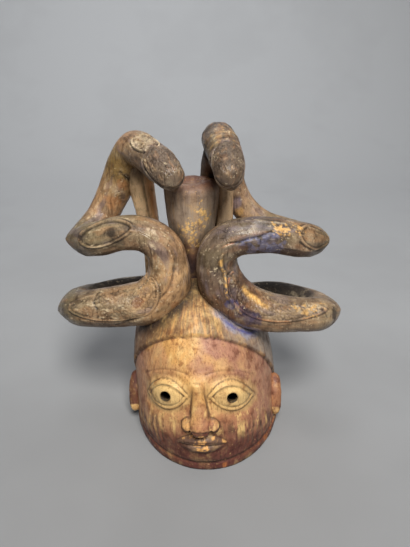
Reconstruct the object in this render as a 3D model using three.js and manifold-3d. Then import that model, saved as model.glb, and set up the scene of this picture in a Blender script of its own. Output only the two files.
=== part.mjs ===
// A carved wooden helmet mask: a hollow cap-shaped head with a face, and on its crown a flared
// column between two snakes that wind outwards and back in loops and look out over the face.
// Millimetres, +Z up, the face looks along -Y. The mask stands on its rim, in the plane z = 0,
// and the origin is the middle of its footprint.
import * as THREE from "three";
import Module from "manifold-3d";
import { mergeVertices } from "three/addons/utils/BufferGeometryUtils.js";

const wasm = await Module();
wasm.setup();

// All places below are measured from the middle of the helmet's widest line, and the finished mask
// is moved by this much to bring the middle of its footprint to the origin.
const FOOTPRINT_SHIFT = [11.4, 13, 0];

// The helmet: an oval dome, deeper in front of its widest line than behind it.
const HEAD = { halfWidth: 95, front: 131, back: 116, height: 205 };
const HOLLOW = { halfWidth: 81, front: 117, back: 102, height: 166 };
const DOME_PLAN_POWER = 2.05;
const DOME_RISE_POWER = 3.2;
// The sides draw in above the rim, and the whole head leans to the left as it rises.
const SIDE_DRAW = { share: 0.02, height: 80 };
const LEAN = 0.075;
const HELMET_COLUMNS = 44;
const HOLLOW_COLUMNS = 28;
const HOLLOW_STEPS = 8;
const HOLLOW_RUN_OUT = 20;
const FRONT_CROWDING = 0.45;
// Heights of the helmet's rings: start, end, and how many steps between.
const HELMET_RINGS = [
  [0, 9, 1],
  [9, 21, 2],
  [21, 126, 11],
  [126, 186, 5],
  [186, 204.5, 2],
];

// The cap covers all that lies above a slanting plane, which falls from the hairline to behind the ears.
const CAP = { hairline: 168, hairlineDepth: 97, fallAngle: 0.9, thickness: 2.4, reach: 600 };
const RIM_BAND = { height: 9, thickness: 2, edgeSoftness: 3 };

// The face is tilted up: its level lines fall by this much for each millimetre that they run back.
const FACE_TILT = 0.55;
const LEVEL_ROUNDS = 8;
const FACE_FADE = { back: 40, rim: 8 };

// The face keeps to the rule of thirds: hairline to brow, brow to nose base, nose base to chin.
const CHIN_LINE = RIM_BAND.height;
const THIRD = (CAP.hairline - CHIN_LINE) / 3;
const EYE_LINE = HEAD.height / 2;
const BROW = { z: CHIN_LINE + 2 * THIRD, spread: 10, height: 4, outerEnd: 70, innerEnd: 45 };
const EYE = { x: 38, z: EYE_LINE, halfWidth: 22, halfHeight: 15, depth: 10, sunk: 3, turn: 0.3 };
const LID = { halfWidth: 24, rise: 16, fall: 15, radius: 3.4, cornerRadius: 1.8, proud: 0.4 };
const PUPIL = { radius: 6, sides: 12, before: 20, behind: 50, dip: 0.45 };
const NOSE_BASE = CHIN_LINE + THIRD;
const NOSE = {
  root: EYE_LINE + 10,
  sunk: 3,
  length: 12,
  rootRadius: 7,
  middleRadius: 8.5,
  tipRadius: 10,
  steps: 5,
  sides: 10,
};
const NOSE_TIP = { up: 8, proud: 4, size: [13, 12, 10] };
const NOSE_WING = { x: 12, up: 6, proud: 1, size: [9, 9, 8] };
const NOSTRIL = { x: 8.5, below: 6, before: 16, radius: 4, sides: 10, run: 26, rise: 14 };
const MOUTH = { z: CHIN_LINE + (2 / 3) * THIRD, halfWidth: 29, lipGap: 5.2, cornerRise: -2 };
const LIP = { radius: 6.5, cornerRadius: 1.5 };
// Lids and lips are folds of wood, each with this many steps along it and sides round it.
const FOLD_STEPS = 8;
const FOLD_SIDES = 6;
const MUZZLE = { halfWidth: 34, halfHeight: 20, height: 7 };
const CHEEK = { x: 58, z: CHIN_LINE + THIRD, spread: 24, height: 4 };
const CHIN = { z: CHIN_LINE + 0.22 * THIRD, halfWidth: 26, spread: 9, height: 4 };

// Columns and rows of the balls that make the eyes, the nose and the ears.
const EYE_GRID = [12, 6];
const NOSE_GRID = [12, 7];
const EAR_GRID = [10, 8];

// The ears lie on the sides, leaning back with the tilt of the face.
const EAR = { x: 92, y: -32, z: 40, back: 0.4, halfDepth: 12, halfWidth: 13, halfHeight: 27 };
const EAR_DENT = { out: 11, halfDepth: 7, halfWidth: 8, halfHeight: 18 };

// The flared column, a little left of the middle.
const COLUMN = { x: -20, y: -7, foot: 150, waist: 215, top: 322, footRadius: 20, topRadius: 33 };
const COLUMN_DISH = { depth: 5, wall: 6 };
const COLUMN_SIDES = 24;

// Each snake from its root in the back of the dome to its snout, as stations along its middle line:
// x, y, z and the radius of the body there.
const LEFT_SNAKE = {
  root: [-50, 52, 148, 17],
  backArm: [-80, 52, 151, 18],
  backArmMiddle: [-117, 45, 150, 19],
  backArmEnd: [-155, 30, 147, 20],
  lowerTurn: [-171, -5, 155, 21],
  frontArmEnd: [-155, -35, 165, 23],
  frontArm: [-124, -46, 173, 25],
  frontArmInner: [-96, -48, 178, 26],
  foot: [-67, -48, 185, 28.5],
  footInner: [-47, -47, 209, 28],
  breast: [-46, -45, 235, 23.5],
  shoulder: [-52, -46, 255, 22],
  shoulderOut: [-70, -46, 268, 21],
  upperArm: [-98, -44, 269, 20.5],
  upperArmEnd: [-126, -36, 259, 21],
  upperTurn: [-149, -8, 249, 20],
  riserFoot: [-134, 20, 267, 19.5],
  riser: [-117, 27, 299, 21],
  neckBack: [-102, 23, 331, 22.5],
  crest: [-87, 10, 353, 22],
  neckFront: [-68, -18, 353, 19.5],
  head: [-50, -44, 346, 19.5],
  snout: [-36, -66, 338, 14],
  tip: [-31, -75, 334, 5],
};
const RIGHT_SNAKE = {
  root: [36, 52, 138, 16],
  backArm: [64, 50, 144, 18.5],
  backArmMiddle: [95, 45, 145, 20.5],
  backArmEnd: [130, 32, 143, 20.5],
  lowerTurn: [147, -5, 152, 20.5],
  frontArmEnd: [135, -34, 162, 21],
  frontArm: [110, -44, 167, 21.5],
  frontArmInner: [73, -49, 172, 24.5],
  foot: [40, -49, 184, 27.5],
  footInner: [18, -47, 207, 28],
  breast: [11, -45, 234, 24.5],
  shoulder: [15, -46, 253, 23],
  shoulderOut: [30, -46, 265, 22],
  upperArm: [70, -44, 269, 21],
  upperArmEnd: [104, -36, 261, 21],
  upperTurn: [125, -8, 250, 19.5],
  riserBase: [101, 18, 250, 17],
  riserFoot: [69, 26, 258, 16.5],
  riser: [42, 27, 280, 16.5],
  riserTop: [28, 27, 307, 17],
  neckBack: [19, 22, 344, 21],
  crest: [11, 9, 365, 21.5],
  neckFront: [15, -20, 363, 20],
  head: [22, -50, 351, 18.5],
  snout: [24, -74, 342, 15],
  tip: [25, -84, 337, 6],
};
// The lower jaw of each snake shows as a narrow lip below the head.
const JAWS = [
  { throat: [-58, -32, 340, 13], chin: [-37, -63, 333, 10], tip: [-33, -71, 330, 5] },
  { throat: [23, -38, 347, 13], chin: [25, -70, 337, 10], tip: [26, -79, 333, 5] },
];
const JAW_STEPS = 5;
const JAW_SIDES = 10;

const BODY_SIDES = 12;
const BODY_STEPS = 48;

// At the outer ends of the loops the carving comes to a blunt corner.
const CORNERS = [
  { foot: [-150, -12, 250, 18], tip: [-175, -15, 248, 3] },
  { foot: [-168, -14, 157, 20], tip: [-194, -17, 150, 3] },
  { foot: [144, -12, 154, 19], tip: [172, -14, 154, 3] },
];
const CORNER_STEPS = 3;

// A strut of wood is left standing under each neck, from the back of the cap.
const LEFT_STRUT = {
  foot: [-72, 36, 130, 13],
  middle: [-74, 28, 230, 11.5],
  neck: [-80, 22, 312, 13],
  top: [-87, 14, 345, 20],
};
const RIGHT_STRUT = {
  foot: [0, 36, 160, 14],
  middle: [2, 30, 250, 12],
  neck: [2, 24, 325, 13],
  top: [10, 14, 348, 18],
};
// A third one stands against the right side of the column.
const SIDE_STRUT = {
  foot: [6, 22, 165, 13],
  middle: [18, 11, 240, 10.5],
  neck: [19, 8, 318, 10.5],
  top: [14, 10, 352, 17],
};
const STRUT_SIDES = 8;
const STRUT_STEPS = 5;

// Eases from 0 to 1 as v goes from one bound to the other, whichever bound is the greater.
const smooth = (from, to, v) => {
  const share = THREE.MathUtils.clamp((v - from) / (to - from), 0, 1);
  return share * share * (3 - 2 * share);
};
const bell = (v) => Math.exp(-v * v);

// A closed surface from rings of points, each ring running anticlockwise seen from the last ring's
// side; the first and the last ring are closed by a fan round their own middle.
function ringSolid(rings) {
  const sides = rings[0].length;
  const vertices = rings.flat();
  const triangles = [];
  for (let i = 0; i + 1 < rings.length; i++) {
    for (let j = 0; j < sides; j++) {
      const a = i * sides + j;
      const b = i * sides + ((j + 1) % sides);
      triangles.push(a, b, b + sides, a, b + sides, a + sides);
    }
  }
  const middleOf = (ring) => {
    const sum = ring.reduce((total, p) => total.add(p), new THREE.Vector3());
    return sum.divideScalar(ring.length);
  };
  const lastStart = (rings.length - 1) * sides;
  const firstMiddle = vertices.push(middleOf(rings[0])) - 1;
  const lastMiddle = vertices.push(middleOf(rings[rings.length - 1])) - 1;
  for (let j = 0; j < sides; j++) {
    const next = (j + 1) % sides;
    triangles.push(firstMiddle, next, j);
    triangles.push(lastMiddle, lastStart + j, lastStart + next);
  }
  const geometry = new THREE.BufferGeometry().setFromPoints(vertices);
  geometry.setIndex(triangles);
  return toSolid(geometry);
}

// A manifold-3d solid from a closed three.js geometry.
function toSolid(geometry) {
  const bare = new THREE.BufferGeometry().setAttribute("position", geometry.getAttribute("position"));
  bare.setIndex(geometry.index);
  const merged = mergeVertices(bare, 1e-4);
  return new wasm.Manifold(
    new wasm.Mesh({
      numProp: 3,
      vertProperties: new Float32Array(merged.attributes.position.array),
      triVerts: new Uint32Array(merged.index.array),
    }),
  );
}

// A point of an upright oval dome: turn goes round from the front towards +X, z is its height.
function domePoint(dome, turn, z) {
  const spread = Math.max(1 - (z / dome.height) ** DOME_RISE_POWER, 0) ** (1 / DOME_PLAN_POWER);
  const drawnIn = 1 - SIDE_DRAW.share * smooth(0, SIDE_DRAW.height, z);
  const depth = Math.cos(turn) > 0 ? dome.front : dome.back;
  return new THREE.Vector3(
    spread * drawnIn * dome.halfWidth * Math.sin(turn),
    -spread * depth * Math.cos(turn),
    z,
  );
}

// The outward direction of the dome's surface there, the gradient of its implicit form.
function domeNormal(dome, p) {
  const depth = p.y < 0 ? dome.front : dome.back;
  return new THREE.Vector3(
    (2 * p.x) / dome.halfWidth ** 2,
    (2 * p.y) / depth ** 2,
    (DOME_RISE_POWER / dome.height) * (p.z / dome.height) ** (DOME_RISE_POWER - 1),
  ).normalize();
}

// The lean of the head carries each point sideways with its height.
const lean = (p) => p.setX(p.x - LEAN * p.z);

// The front line's depth at a height, which the tilt of the face is measured from.
const frontLine = (z) => domePoint(HEAD, 0, z).y;

// The face is tilted up, so its level lines dip as they run back round the sides of the head.
const faceLevel = (p) => p.z + FACE_TILT * (p.y - frontLine(p.z));

// Muzzle, brow, cheeks and chin are soft swellings of the face.
function faceRelief(x, z) {
  const muzzle = MUZZLE.height * bell(x / MUZZLE.halfWidth) * bell((z - MOUTH.z) / MUZZLE.halfHeight);
  const browEnds = smooth(BROW.outerEnd, BROW.innerEnd, Math.abs(x));
  const brow = BROW.height * browEnds * bell((z - BROW.z) / BROW.spread);
  const across = (Math.abs(x) - CHEEK.x) / CHEEK.spread;
  const cheek = CHEEK.height * bell(across) * bell((z - CHEEK.z) / CHEEK.spread);
  const chin = CHIN.height * bell(x / CHIN.halfWidth) * bell((z - CHIN.z) / CHIN.spread);
  return muzzle + brow + cheek + chin;
}

// The band that stands proud round the rim.
function bandRelief(z) {
  return RIM_BAND.thickness * smooth(RIM_BAND.height + RIM_BAND.edgeSoftness, RIM_BAND.height, z);
}

// How far the bare head stands out of the plain dome at the point p.
function headRelief(p) {
  const onFace = smooth(0, FACE_FADE.back, -p.y) * smooth(CHIN_LINE, CHIN_LINE + FACE_FADE.rim, p.z);
  return bandRelief(p.z) + onFace * faceRelief(p.x, faceLevel(p));
}

// How far the cap stands out of the plain dome, with the rim band going round below it.
function capRelief(p) {
  return CAP.thickness + bandRelief(p.z);
}

// A dome with the given relief down to its flat rim, its columns of points crowded to the face.
function reliefDome(relief) {
  const heights = HELMET_RINGS.flatMap(([start, end, steps]) =>
    Array.from({ length: steps }, (_, i) => start + ((end - start) * i) / steps),
  );
  const rings = heights.map((z) => {
    const ring = [];
    for (let j = 0; j < HELMET_COLUMNS; j++) {
      const even = (2 * Math.PI * j) / HELMET_COLUMNS;
      const p = domePoint(HEAD, even - FRONT_CROWDING * Math.sin(even), z);
      const out = domeNormal(HEAD, p);
      if (z === 0) out.setZ(0).normalize();
      ring.push(lean(p.addScaledVector(out, relief(p))));
    }
    return ring;
  });
  return ringSolid(rings);
}

// The hollow for the wearer's head, a smaller dome that runs out below the rim.
function helmetHollow() {
  const rings = [];
  for (let i = 0; i < HOLLOW_STEPS; i++) {
    const z = HOLLOW.height * Math.sin((Math.PI / 2) * (i / HOLLOW_STEPS));
    const ring = [];
    for (let j = 0; j < HOLLOW_COLUMNS; j++) {
      ring.push(lean(domePoint(HOLLOW, (2 * Math.PI * j) / HOLLOW_COLUMNS, z)));
    }
    rings.push(ring);
  }
  rings.unshift(rings[0].map((p) => p.clone().setZ(-HOLLOW_RUN_OUT)));
  return ringSolid(rings);
}

// A cylinder from one point to another.
function rod(from, to, { radius, sides }) {
  const axis = new THREE.Vector3().subVectors(to, from);
  const geometry = new THREE.CylinderGeometry(radius, radius, axis.length(), sides);
  const upright = new THREE.Vector3(0, 1, 0);
  geometry.applyQuaternion(new THREE.Quaternion().setFromUnitVectors(upright, axis.clone().normalize()));
  geometry.translate(...new THREE.Vector3().addVectors(from, to).multiplyScalar(0.5));
  return toSolid(geometry);
}

// The cap: a thicker dome without its face, cut along the slanting plane of the hairline.
function cap() {
  const geometry = new THREE.BoxGeometry(CAP.reach, CAP.reach, CAP.reach);
  geometry.translate(0, 0, CAP.reach / 2);
  geometry.rotateX(-CAP.fallAngle);
  geometry.translate(0, -CAP.hairlineDepth, CAP.hairline);
  return reliefDome(capRelief).intersect(toSolid(geometry));
}

// The place [x, y, z] on the front of the bare head at x and a level of the face, standing proud of
// it. A few rounds settle the height at which the dipping level line crosses x.
function onHead(x, level, proud) {
  let p = new THREE.Vector3(0, 0, level);
  for (let i = 0; i < LEVEL_ROUNDS; i++) {
    const widest = domePoint(HEAD, Math.PI / 2, p.z).x;
    p = domePoint(HEAD, Math.asin(x / widest), p.z);
    p.z += level - faceLevel(p);
  }
  const out = domeNormal(HEAD, p);
  lean(p.addScaledVector(out, headRelief(p) + proud));
  return p.toArray();
}

// A rounded fold of wood through places [x, z, radius] on the face.
function fold(places, proud) {
  const stations = places.map(([x, level, radius]) => [...onHead(x, level, proud), radius]);
  return body(stations, FOLD_STEPS, FOLD_SIDES);
}

// The bend of a fold from one corner to the other, highest and thickest in the middle.
function arch(halfWidth, rise, radius, cornerRadius) {
  const places = [];
  for (let i = 0; i <= FOLD_STEPS; i++) {
    const share = (2 * i) / FOLD_STEPS - 1;
    const thickness = THREE.MathUtils.lerp(radius, cornerRadius, share ** 2);
    places.push([share * halfWidth, rise * (1 - share ** 2), thickness]);
  }
  return places;
}

// An eye: a bulging ball between an upper and a lower lid.
function eye(side) {
  const ball = new THREE.SphereGeometry(1, ...EYE_GRID);
  ball.scale(EYE.halfWidth, EYE.depth, EYE.halfHeight);
  const [x, y, z] = onHead(side * EYE.x, EYE.z, -EYE.sunk);
  ball.rotateZ(side * EYE.turn);
  ball.translate(x, y, z);
  const lid = (rise) => {
    const bend = arch(LID.halfWidth, rise, LID.radius, LID.cornerRadius);
    return fold(bend.map(([dx, up, radius]) => [side * EYE.x + dx, EYE.z + up, radius]), LID.proud);
  };
  return toSolid(ball).add(lid(LID.rise)).add(lid(-LID.fall));
}

// A broad short nose: a ridge from between the eyes, a blunt tip and a wing at each side.
function nose() {
  const stations = {
    root: [...onHead(0, NOSE.root, -NOSE.sunk), NOSE.rootRadius],
    middle: [...onHead(0, (NOSE.root + NOSE_BASE) / 2, NOSE.length / 4), NOSE.middleRadius],
    end: [...onHead(0, NOSE_BASE + NOSE.tipRadius, NOSE.length / 2), NOSE.tipRadius],
  };
  const ridge = body(stations, NOSE.steps, NOSE.sides);
  const knob = (x, up, proud, size) => {
    const ball = new THREE.SphereGeometry(1, ...NOSE_GRID);
    ball.scale(...size);
    ball.translate(...onHead(x, NOSE_BASE + up, proud));
    return toSolid(ball);
  };
  const tip = knob(0, NOSE_TIP.up, NOSE_TIP.proud, NOSE_TIP.size);
  const wing = (side) => knob(side * NOSE_WING.x, NOSE_WING.up, NOSE_WING.proud, NOSE_WING.size);
  return ridge.add(tip).add(wing(-1)).add(wing(1));
}

// A closed mouth of two full lips.
function lips() {
  const lip = (side) => {
    const rise = side * MOUTH.lipGap - MOUTH.cornerRise;
    const bend = arch(MOUTH.halfWidth, rise, LIP.radius, LIP.cornerRadius);
    return fold(bend.map(([x, up, radius]) => [x, MOUTH.z + MOUTH.cornerRise + up, radius]), 0);
  };
  return lip(1).add(lip(-1));
}

// Pupils pierced through the wall, and nostrils bored up into the nose.
function faceHoles() {
  const holes = [];
  for (const side of [-1, 1]) {
    const [x, y, z] = onHead(side * EYE.x, EYE.z, 0);
    const inwards = new THREE.Vector3(0, Math.cos(PUPIL.dip), -Math.sin(PUPIL.dip));
    const outer = new THREE.Vector3(x, y, z).addScaledVector(inwards, -PUPIL.before);
    const inner = new THREE.Vector3(x, y, z).addScaledVector(inwards, PUPIL.behind);
    holes.push(rod(outer, inner, PUPIL));
    const mouthOfHole = onHead(side * NOSTRIL.x, NOSE_BASE - NOSTRIL.below, NOSTRIL.before);
    const start = new THREE.Vector3(...mouthOfHole);
    const end = start.clone().add(new THREE.Vector3(0, NOSTRIL.run, NOSTRIL.rise));
    holes.push(rod(start, end, NOSTRIL));
  }
  return holes;
}

// An ear: a flattened egg on the side of the head with a dent in its outer face.
function ear(side) {
  const egg = (out, size) => {
    const geometry = new THREE.SphereGeometry(1, ...EAR_GRID);
    geometry.scale(size.halfDepth, size.halfWidth, size.halfHeight);
    geometry.rotateX(-EAR.back);
    geometry.translate(side * (EAR.x + out) - LEAN * EAR.z, EAR.y, EAR.z);
    return toSolid(geometry);
  };
  return egg(0, EAR).subtract(egg(EAR_DENT.out, EAR_DENT));
}

// The flared column: a turned profile with a shallow dish in its top.
function column() {
  const outline = [
    [0, COLUMN.foot],
    [COLUMN.footRadius, COLUMN.foot],
    [COLUMN.footRadius, COLUMN.waist],
  ];
  const steps = 6;
  for (let i = 1; i <= steps; i++) {
    const share = i / steps;
    outline.push([
      COLUMN.footRadius + (COLUMN.topRadius - COLUMN.footRadius) * Math.sin((Math.PI / 2) * share) ** 1.15,
      COLUMN.waist + (COLUMN.top - COLUMN.waist) * share,
    ]);
  }
  outline.push([COLUMN.topRadius - COLUMN_DISH.wall, COLUMN.top - 0.5], [0, COLUMN.top - COLUMN_DISH.depth]);
  const profile = outline.map(([r, z]) => new THREE.Vector2(r, z));
  const geometry = new THREE.LatheGeometry(profile, COLUMN_SIDES);
  geometry.rotateX(Math.PI / 2);
  geometry.translate(COLUMN.x, COLUMN.y, 0);
  return toSolid(geometry);
}

// A round body carried along a smooth curve through its stations, with a rounded start and end.
function body(stations, steps, sides) {
  const list = Object.values(stations);
  const points = list.map(([x, y, z]) => new THREE.Vector3(x, y, z));
  const curve = new THREE.CatmullRomCurve3(points, false, "centripetal");
  const frames = curve.computeFrenetFrames(steps, false);
  const rings = [];
  for (let i = 0; i <= steps; i++) {
    const along = curve.getUtoTmapping(i / steps) * (list.length - 1);
    const before = Math.min(Math.floor(along), list.length - 2);
    const radius = THREE.MathUtils.lerp(list[before][3], list[before + 1][3], along - before);
    const centre = curve.getPointAt(i / steps);
    const ring = [];
    for (let j = 0; j < sides; j++) {
      const angle = (2 * Math.PI * j) / sides;
      const out = new THREE.Vector3()
        .addScaledVector(frames.normals[i], Math.cos(angle))
        .addScaledVector(frames.binormals[i], Math.sin(angle));
      ring.push(out.multiplyScalar(radius).add(centre));
    }
    rings.push(ring);
  }
  return ringSolid(rings);
}

// The whole mask: the head and its crown joined, then hollowed and pierced.
function maskSolid() {
  const joined = [
    cap(),
    eye(-1),
    eye(1),
    nose(),
    lips(),
    ear(-1),
    ear(1),
    column(),
    body(LEFT_SNAKE, BODY_STEPS, BODY_SIDES),
    body(RIGHT_SNAKE, BODY_STEPS, BODY_SIDES),
    ...JAWS.map((jaw) => body(jaw, JAW_STEPS, JAW_SIDES)),
    ...CORNERS.map((corner) => body(corner, CORNER_STEPS, STRUT_SIDES)),
    body(LEFT_STRUT, STRUT_STEPS, STRUT_SIDES),
    body(RIGHT_STRUT, STRUT_STEPS, STRUT_SIDES),
    body(SIDE_STRUT, STRUT_STEPS, STRUT_SIDES),
  ];
  let whole = reliefDome(headRelief);
  for (const piece of joined) {
    whole = whole.add(piece);
  }
  for (const cut of [helmetHollow(), ...faceHoles()]) {
    whole = whole.subtract(cut);
  }
  return whole.translate(FOOTPRINT_SHIFT);
}

// A three.js geometry from the finished solid.
function toGeometry(solid) {
  const { vertProperties, triVerts } = solid.getMesh();
  const geometry = new THREE.BufferGeometry();
  geometry.setAttribute("position", new THREE.BufferAttribute(new Float32Array(vertProperties), 3));
  geometry.setIndex(new THREE.BufferAttribute(new Uint32Array(triVerts), 1));
  geometry.computeVertexNormals();
  return geometry;
}

const carvedWood = new THREE.MeshStandardMaterial({ color: 0x8a6a48, roughness: 0.7, metalness: 0 });
const mask = new THREE.Mesh(toGeometry(maskSolid()), carvedWood);
mask.name = "mask";

const root = new THREE.Group();
root.add(mask);

export default root;
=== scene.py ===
"""The looks of a carved and painted wooden helmet mask: a hollow head with a face and a close cap,
and on its crown a flared column between two winding snakes. Every surface is worked out in
millimetres from the middle of the helmet's widest line, with +Z up and the face looking along -Y,
and is moved to the frame and turned to metres when its mesh is made."""
import itertools
import math
from types import SimpleNamespace as Named

import bpy
import numpy as np
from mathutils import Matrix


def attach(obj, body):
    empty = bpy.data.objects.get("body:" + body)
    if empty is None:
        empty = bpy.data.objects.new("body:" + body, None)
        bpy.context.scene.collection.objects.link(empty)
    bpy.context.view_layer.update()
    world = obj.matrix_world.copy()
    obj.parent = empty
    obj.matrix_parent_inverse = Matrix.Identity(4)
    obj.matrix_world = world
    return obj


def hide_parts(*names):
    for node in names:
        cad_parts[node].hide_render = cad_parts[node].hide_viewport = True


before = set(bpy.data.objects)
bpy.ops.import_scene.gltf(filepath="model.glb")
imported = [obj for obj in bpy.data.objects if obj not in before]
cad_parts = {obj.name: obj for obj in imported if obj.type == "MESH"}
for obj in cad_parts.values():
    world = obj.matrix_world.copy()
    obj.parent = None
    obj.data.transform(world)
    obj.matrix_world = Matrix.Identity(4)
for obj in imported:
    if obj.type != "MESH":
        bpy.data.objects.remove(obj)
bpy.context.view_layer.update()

METRES = 0.001
FOOTPRINT_SHIFT = np.array([11.4, 13.0, 0.0])

# The helmet: an oval dome, deeper in front of its widest line than behind it, and hollow.
HEAD = Named(half_width=95, front=131, back=116, height=205)
HOLLOW = Named(half_width=81, front=117, back=102, height=166)
DOME_PLAN_POWER = 2.05
DOME_RISE_POWER = 3.2
SIDE_DRAW_SHARE, SIDE_DRAW_HEIGHT = 0.02, 80
LEAN = 0.075
HEAD_COLUMNS = 330
FRONT_CROWDING = 0.45
FACE_ROWS, CROWN_ROWS, HOLLOW_ROWS = 142, 62, 26
CROWN_START = 160
GRAIN_GIRTH = 100
ROD_SIDES = 28
GROOVE_STEP = 2.4

# The cap lies above a slanting plane, from the hairline down to behind the ears.
HAIRLINE, HAIRLINE_DEPTH, CAP_FALL, CAP_THICKNESS = 168, 97, 0.9, 2.4
BAND_HEIGHT, BAND_THICKNESS, BAND_SOFTNESS = 9, 2, 3

# The face keeps to the rule of thirds: hairline to brow, brow to nose base, nose base to chin.
FACE_TILT = 0.55
LEVEL_ROUNDS = 8
CHIN_LINE = BAND_HEIGHT
THIRD = (HAIRLINE - CHIN_LINE) / 3
EYE_LINE = HEAD.height / 2
EYE_X = 38
NOSE_BASE = CHIN_LINE + THIRD
MOUTH_LINE = CHIN_LINE + THIRD * 2 / 3
PUPIL_RADIUS, PUPIL_BEFORE, PUPIL_BEHIND, PUPIL_DIP = 6, 20, 50, 0.45
NOSTRIL = Named(x=8.5, below=6, before=16, radius=4, run=26, rise=14)
EAR = Named(x=92, y=-32, z=40, back=0.4, half_depth=12, half_width=13, half_height=27)
LOBE, LOBE_RADIUS = np.array([0.0, -6.0, -22.0]), 7

# The flared column, a little left of the middle.
COLUMN = Named(x=-20, y=-7, foot=150, waist=215, top=322, foot_radius=20, top_radius=33)
DISH_DEPTH, DISH_WALL, TOP_EASE = 5, 13, 11
COLUMN_ROWS, COLUMN_SIDES = 190, 240
COLUMN_GOLD = ((-3, -38, 289, 10), (-8, -40, 281, 12), (-15, -40, 275, 12), (-21, -39, 268, 12),
               (-19, -38, 258, 9), (-8, -40, 268, 9))

# Each snake from its root in the back of the dome to its snout: x, y, z and the body's radius there.
LEFT_SNAKE = {
    "root": (-50, 52, 148, 17), "back_arm": (-80, 52, 151, 18), "back_arm_middle": (-117, 45, 150, 19),
    "back_arm_end": (-155, 30, 147, 20), "lower_turn": (-171, -5, 155, 21),
    "front_arm_end": (-155, -35, 165, 23), "front_arm": (-124, -46, 173, 25),
    "front_arm_inner": (-96, -48, 178, 26), "foot": (-67, -48, 185, 28.5),
    "foot_inner": (-47, -47, 209, 28), "breast": (-46, -45, 235, 23.5), "shoulder": (-52, -46, 255, 22),
    "shoulder_out": (-70, -46, 268, 21), "upper_arm": (-98, -44, 269, 20.5),
    "upper_arm_end": (-126, -36, 259, 21), "upper_turn": (-149, -8, 249, 20),
    "riser_foot": (-134, 20, 267, 19.5), "riser": (-117, 27, 299, 21), "neck_back": (-102, 23, 331, 22.5),
    "crest": (-87, 10, 353, 22), "neck_front": (-68, -18, 353, 19.5), "head": (-50, -44, 346, 19.5),
    "snout": (-36, -66, 338, 14), "tip": (-31, -75, 334, 5),
}
RIGHT_SNAKE = {
    "root": (36, 52, 138, 16), "back_arm": (64, 50, 144, 18.5), "back_arm_middle": (95, 45, 145, 20.5),
    "back_arm_end": (130, 32, 143, 20.5), "lower_turn": (147, -5, 152, 20.5),
    "front_arm_end": (135, -34, 162, 21), "front_arm": (110, -44, 167, 21.5),
    "front_arm_inner": (73, -49, 172, 24.5), "foot": (40, -49, 184, 27.5),
    "foot_inner": (18, -47, 207, 28), "breast": (11, -45, 234, 24.5), "shoulder": (15, -46, 253, 23),
    "shoulder_out": (30, -46, 265, 22), "upper_arm": (70, -44, 269, 21),
    "upper_arm_end": (104, -36, 261, 21), "upper_turn": (125, -8, 250, 19.5),
    "riser_base": (101, 18, 250, 17), "riser_foot": (69, 26, 258, 16.5), "riser": (42, 27, 280, 16.5),
    "riser_top": (28, 27, 307, 17), "neck_back": (19, 22, 344, 21), "crest": (11, 9, 365, 19.8),
    "neck_front": (15, -20, 363, 20), "head": (22, -50, 351, 18.5), "snout": (24, -74, 342, 15),
    "tip": (25, -84, 337, 6),
}
LEFT_JAW = {"throat": (-58, -32, 340, 13), "chin": (-37, -63, 333, 10), "tip": (-33, -71, 330, 5)}
RIGHT_JAW = {"throat": (23, -38, 347, 13), "chin": (25, -70, 337, 10), "tip": (26, -79, 333, 5)}
# Blunt corners that the outer ends of the loops are drawn out to: x, y, z, reach and pull.
LEFT_CORNERS = ((-177, -15, 249, 36, 0.9), (-195, -17, 151, 36, 0.9))
RIGHT_CORNERS = ((172, -12, 158, 40, 0.5), (145, -20, 255, 34, 0.6))
LEFT_STRUT = {"foot": (-72, 36, 130, 13), "middle": (-74, 28, 230, 11.5),
              "neck": (-83, 22, 308, 16), "top": (-88, 17, 345, 19)}
RIGHT_STRUT = {"foot": (0, 36, 160, 14), "middle": (2, 30, 250, 12),
               "neck": (2, 24, 325, 13), "top": (10, 14, 348, 18)}
SIDE_STRUT = {"foot": (6, 22, 165, 13), "middle": (18, 11, 240, 10.5),
              "neck": (19, 8, 318, 10.5), "top": (14, 10, 352, 17)}

FINE_STEP, COARSE_STEP = 1.2, 2.2
BODY_SIDES = 112
BAR_STEP, BAR_SIDES = 1.8, 64
BODY_CROWDING = 0.35


def screen(red, green, blue):
    """A colour given as a screen shows it, 0 to 255, as linear light."""
    share = np.array([red, green, blue]) / 255
    return np.where(share <= 0.04045, share / 12.92, ((share + 0.055) / 1.055) ** 2.4)


# Paints, bare woods and dirt, and tints that are also laid as painted shade and painted glints.
OCHRE = screen(222, 168, 100)
PALE_OCHRE = screen(242, 200, 132)
MAUVE = screen(186, 134, 108)
PINK_BROWN = screen(172, 114, 86)
DARK_BROWN = screen(104, 57, 48)
UMBER = screen(76, 50, 38)
EYE_CREAM = screen(246, 206, 138)
LIP_GREY = screen(118, 92, 74)
CAP_OCHRE = screen(176, 138, 88)
CAP_GREEN = screen(134, 118, 82)
CAP_SHADE = screen(140, 104, 72)
CAP_GREY = screen(166, 150, 138)
BLUE = screen(66, 72, 150)
BLUE_GREY = screen(122, 124, 158)
PALE_BLUE = screen(158, 158, 178)
LILAC = screen(126, 112, 118)
LIP_LILAC = screen(142, 122, 114)
BARE_WOOD = screen(236, 178, 108)
GOLD_WOOD = screen(232, 184, 112)
RAW_HOLLOW = screen(128, 96, 68)
TAN = screen(178, 140, 104)
WARM_TAN = screen(194, 154, 110)
WEATHERED = screen(146, 120, 92)
DUSTY_TAN = screen(158, 132, 102)
OLIVE = screen(124, 108, 80)
OLIVE_YELLOW = screen(152, 122, 70)
GREY_BROWN = screen(116, 98, 82)
ORANGE_BROWN = screen(176, 124, 80)
DEEP_BROWN = screen(84, 64, 50)
# Soot, which is also laid as painted shade in grooves, underneath and where parts meet.
SOOT_AND_PAINTED_SHADE = screen(44, 35, 30)
DUSKY_PURPLE = screen(58, 40, 44)
RED_BROWN = screen(124, 76, 52)
BARE_BROWN = screen(108, 82, 58)
FRESH_RED = screen(184, 112, 62)
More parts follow.
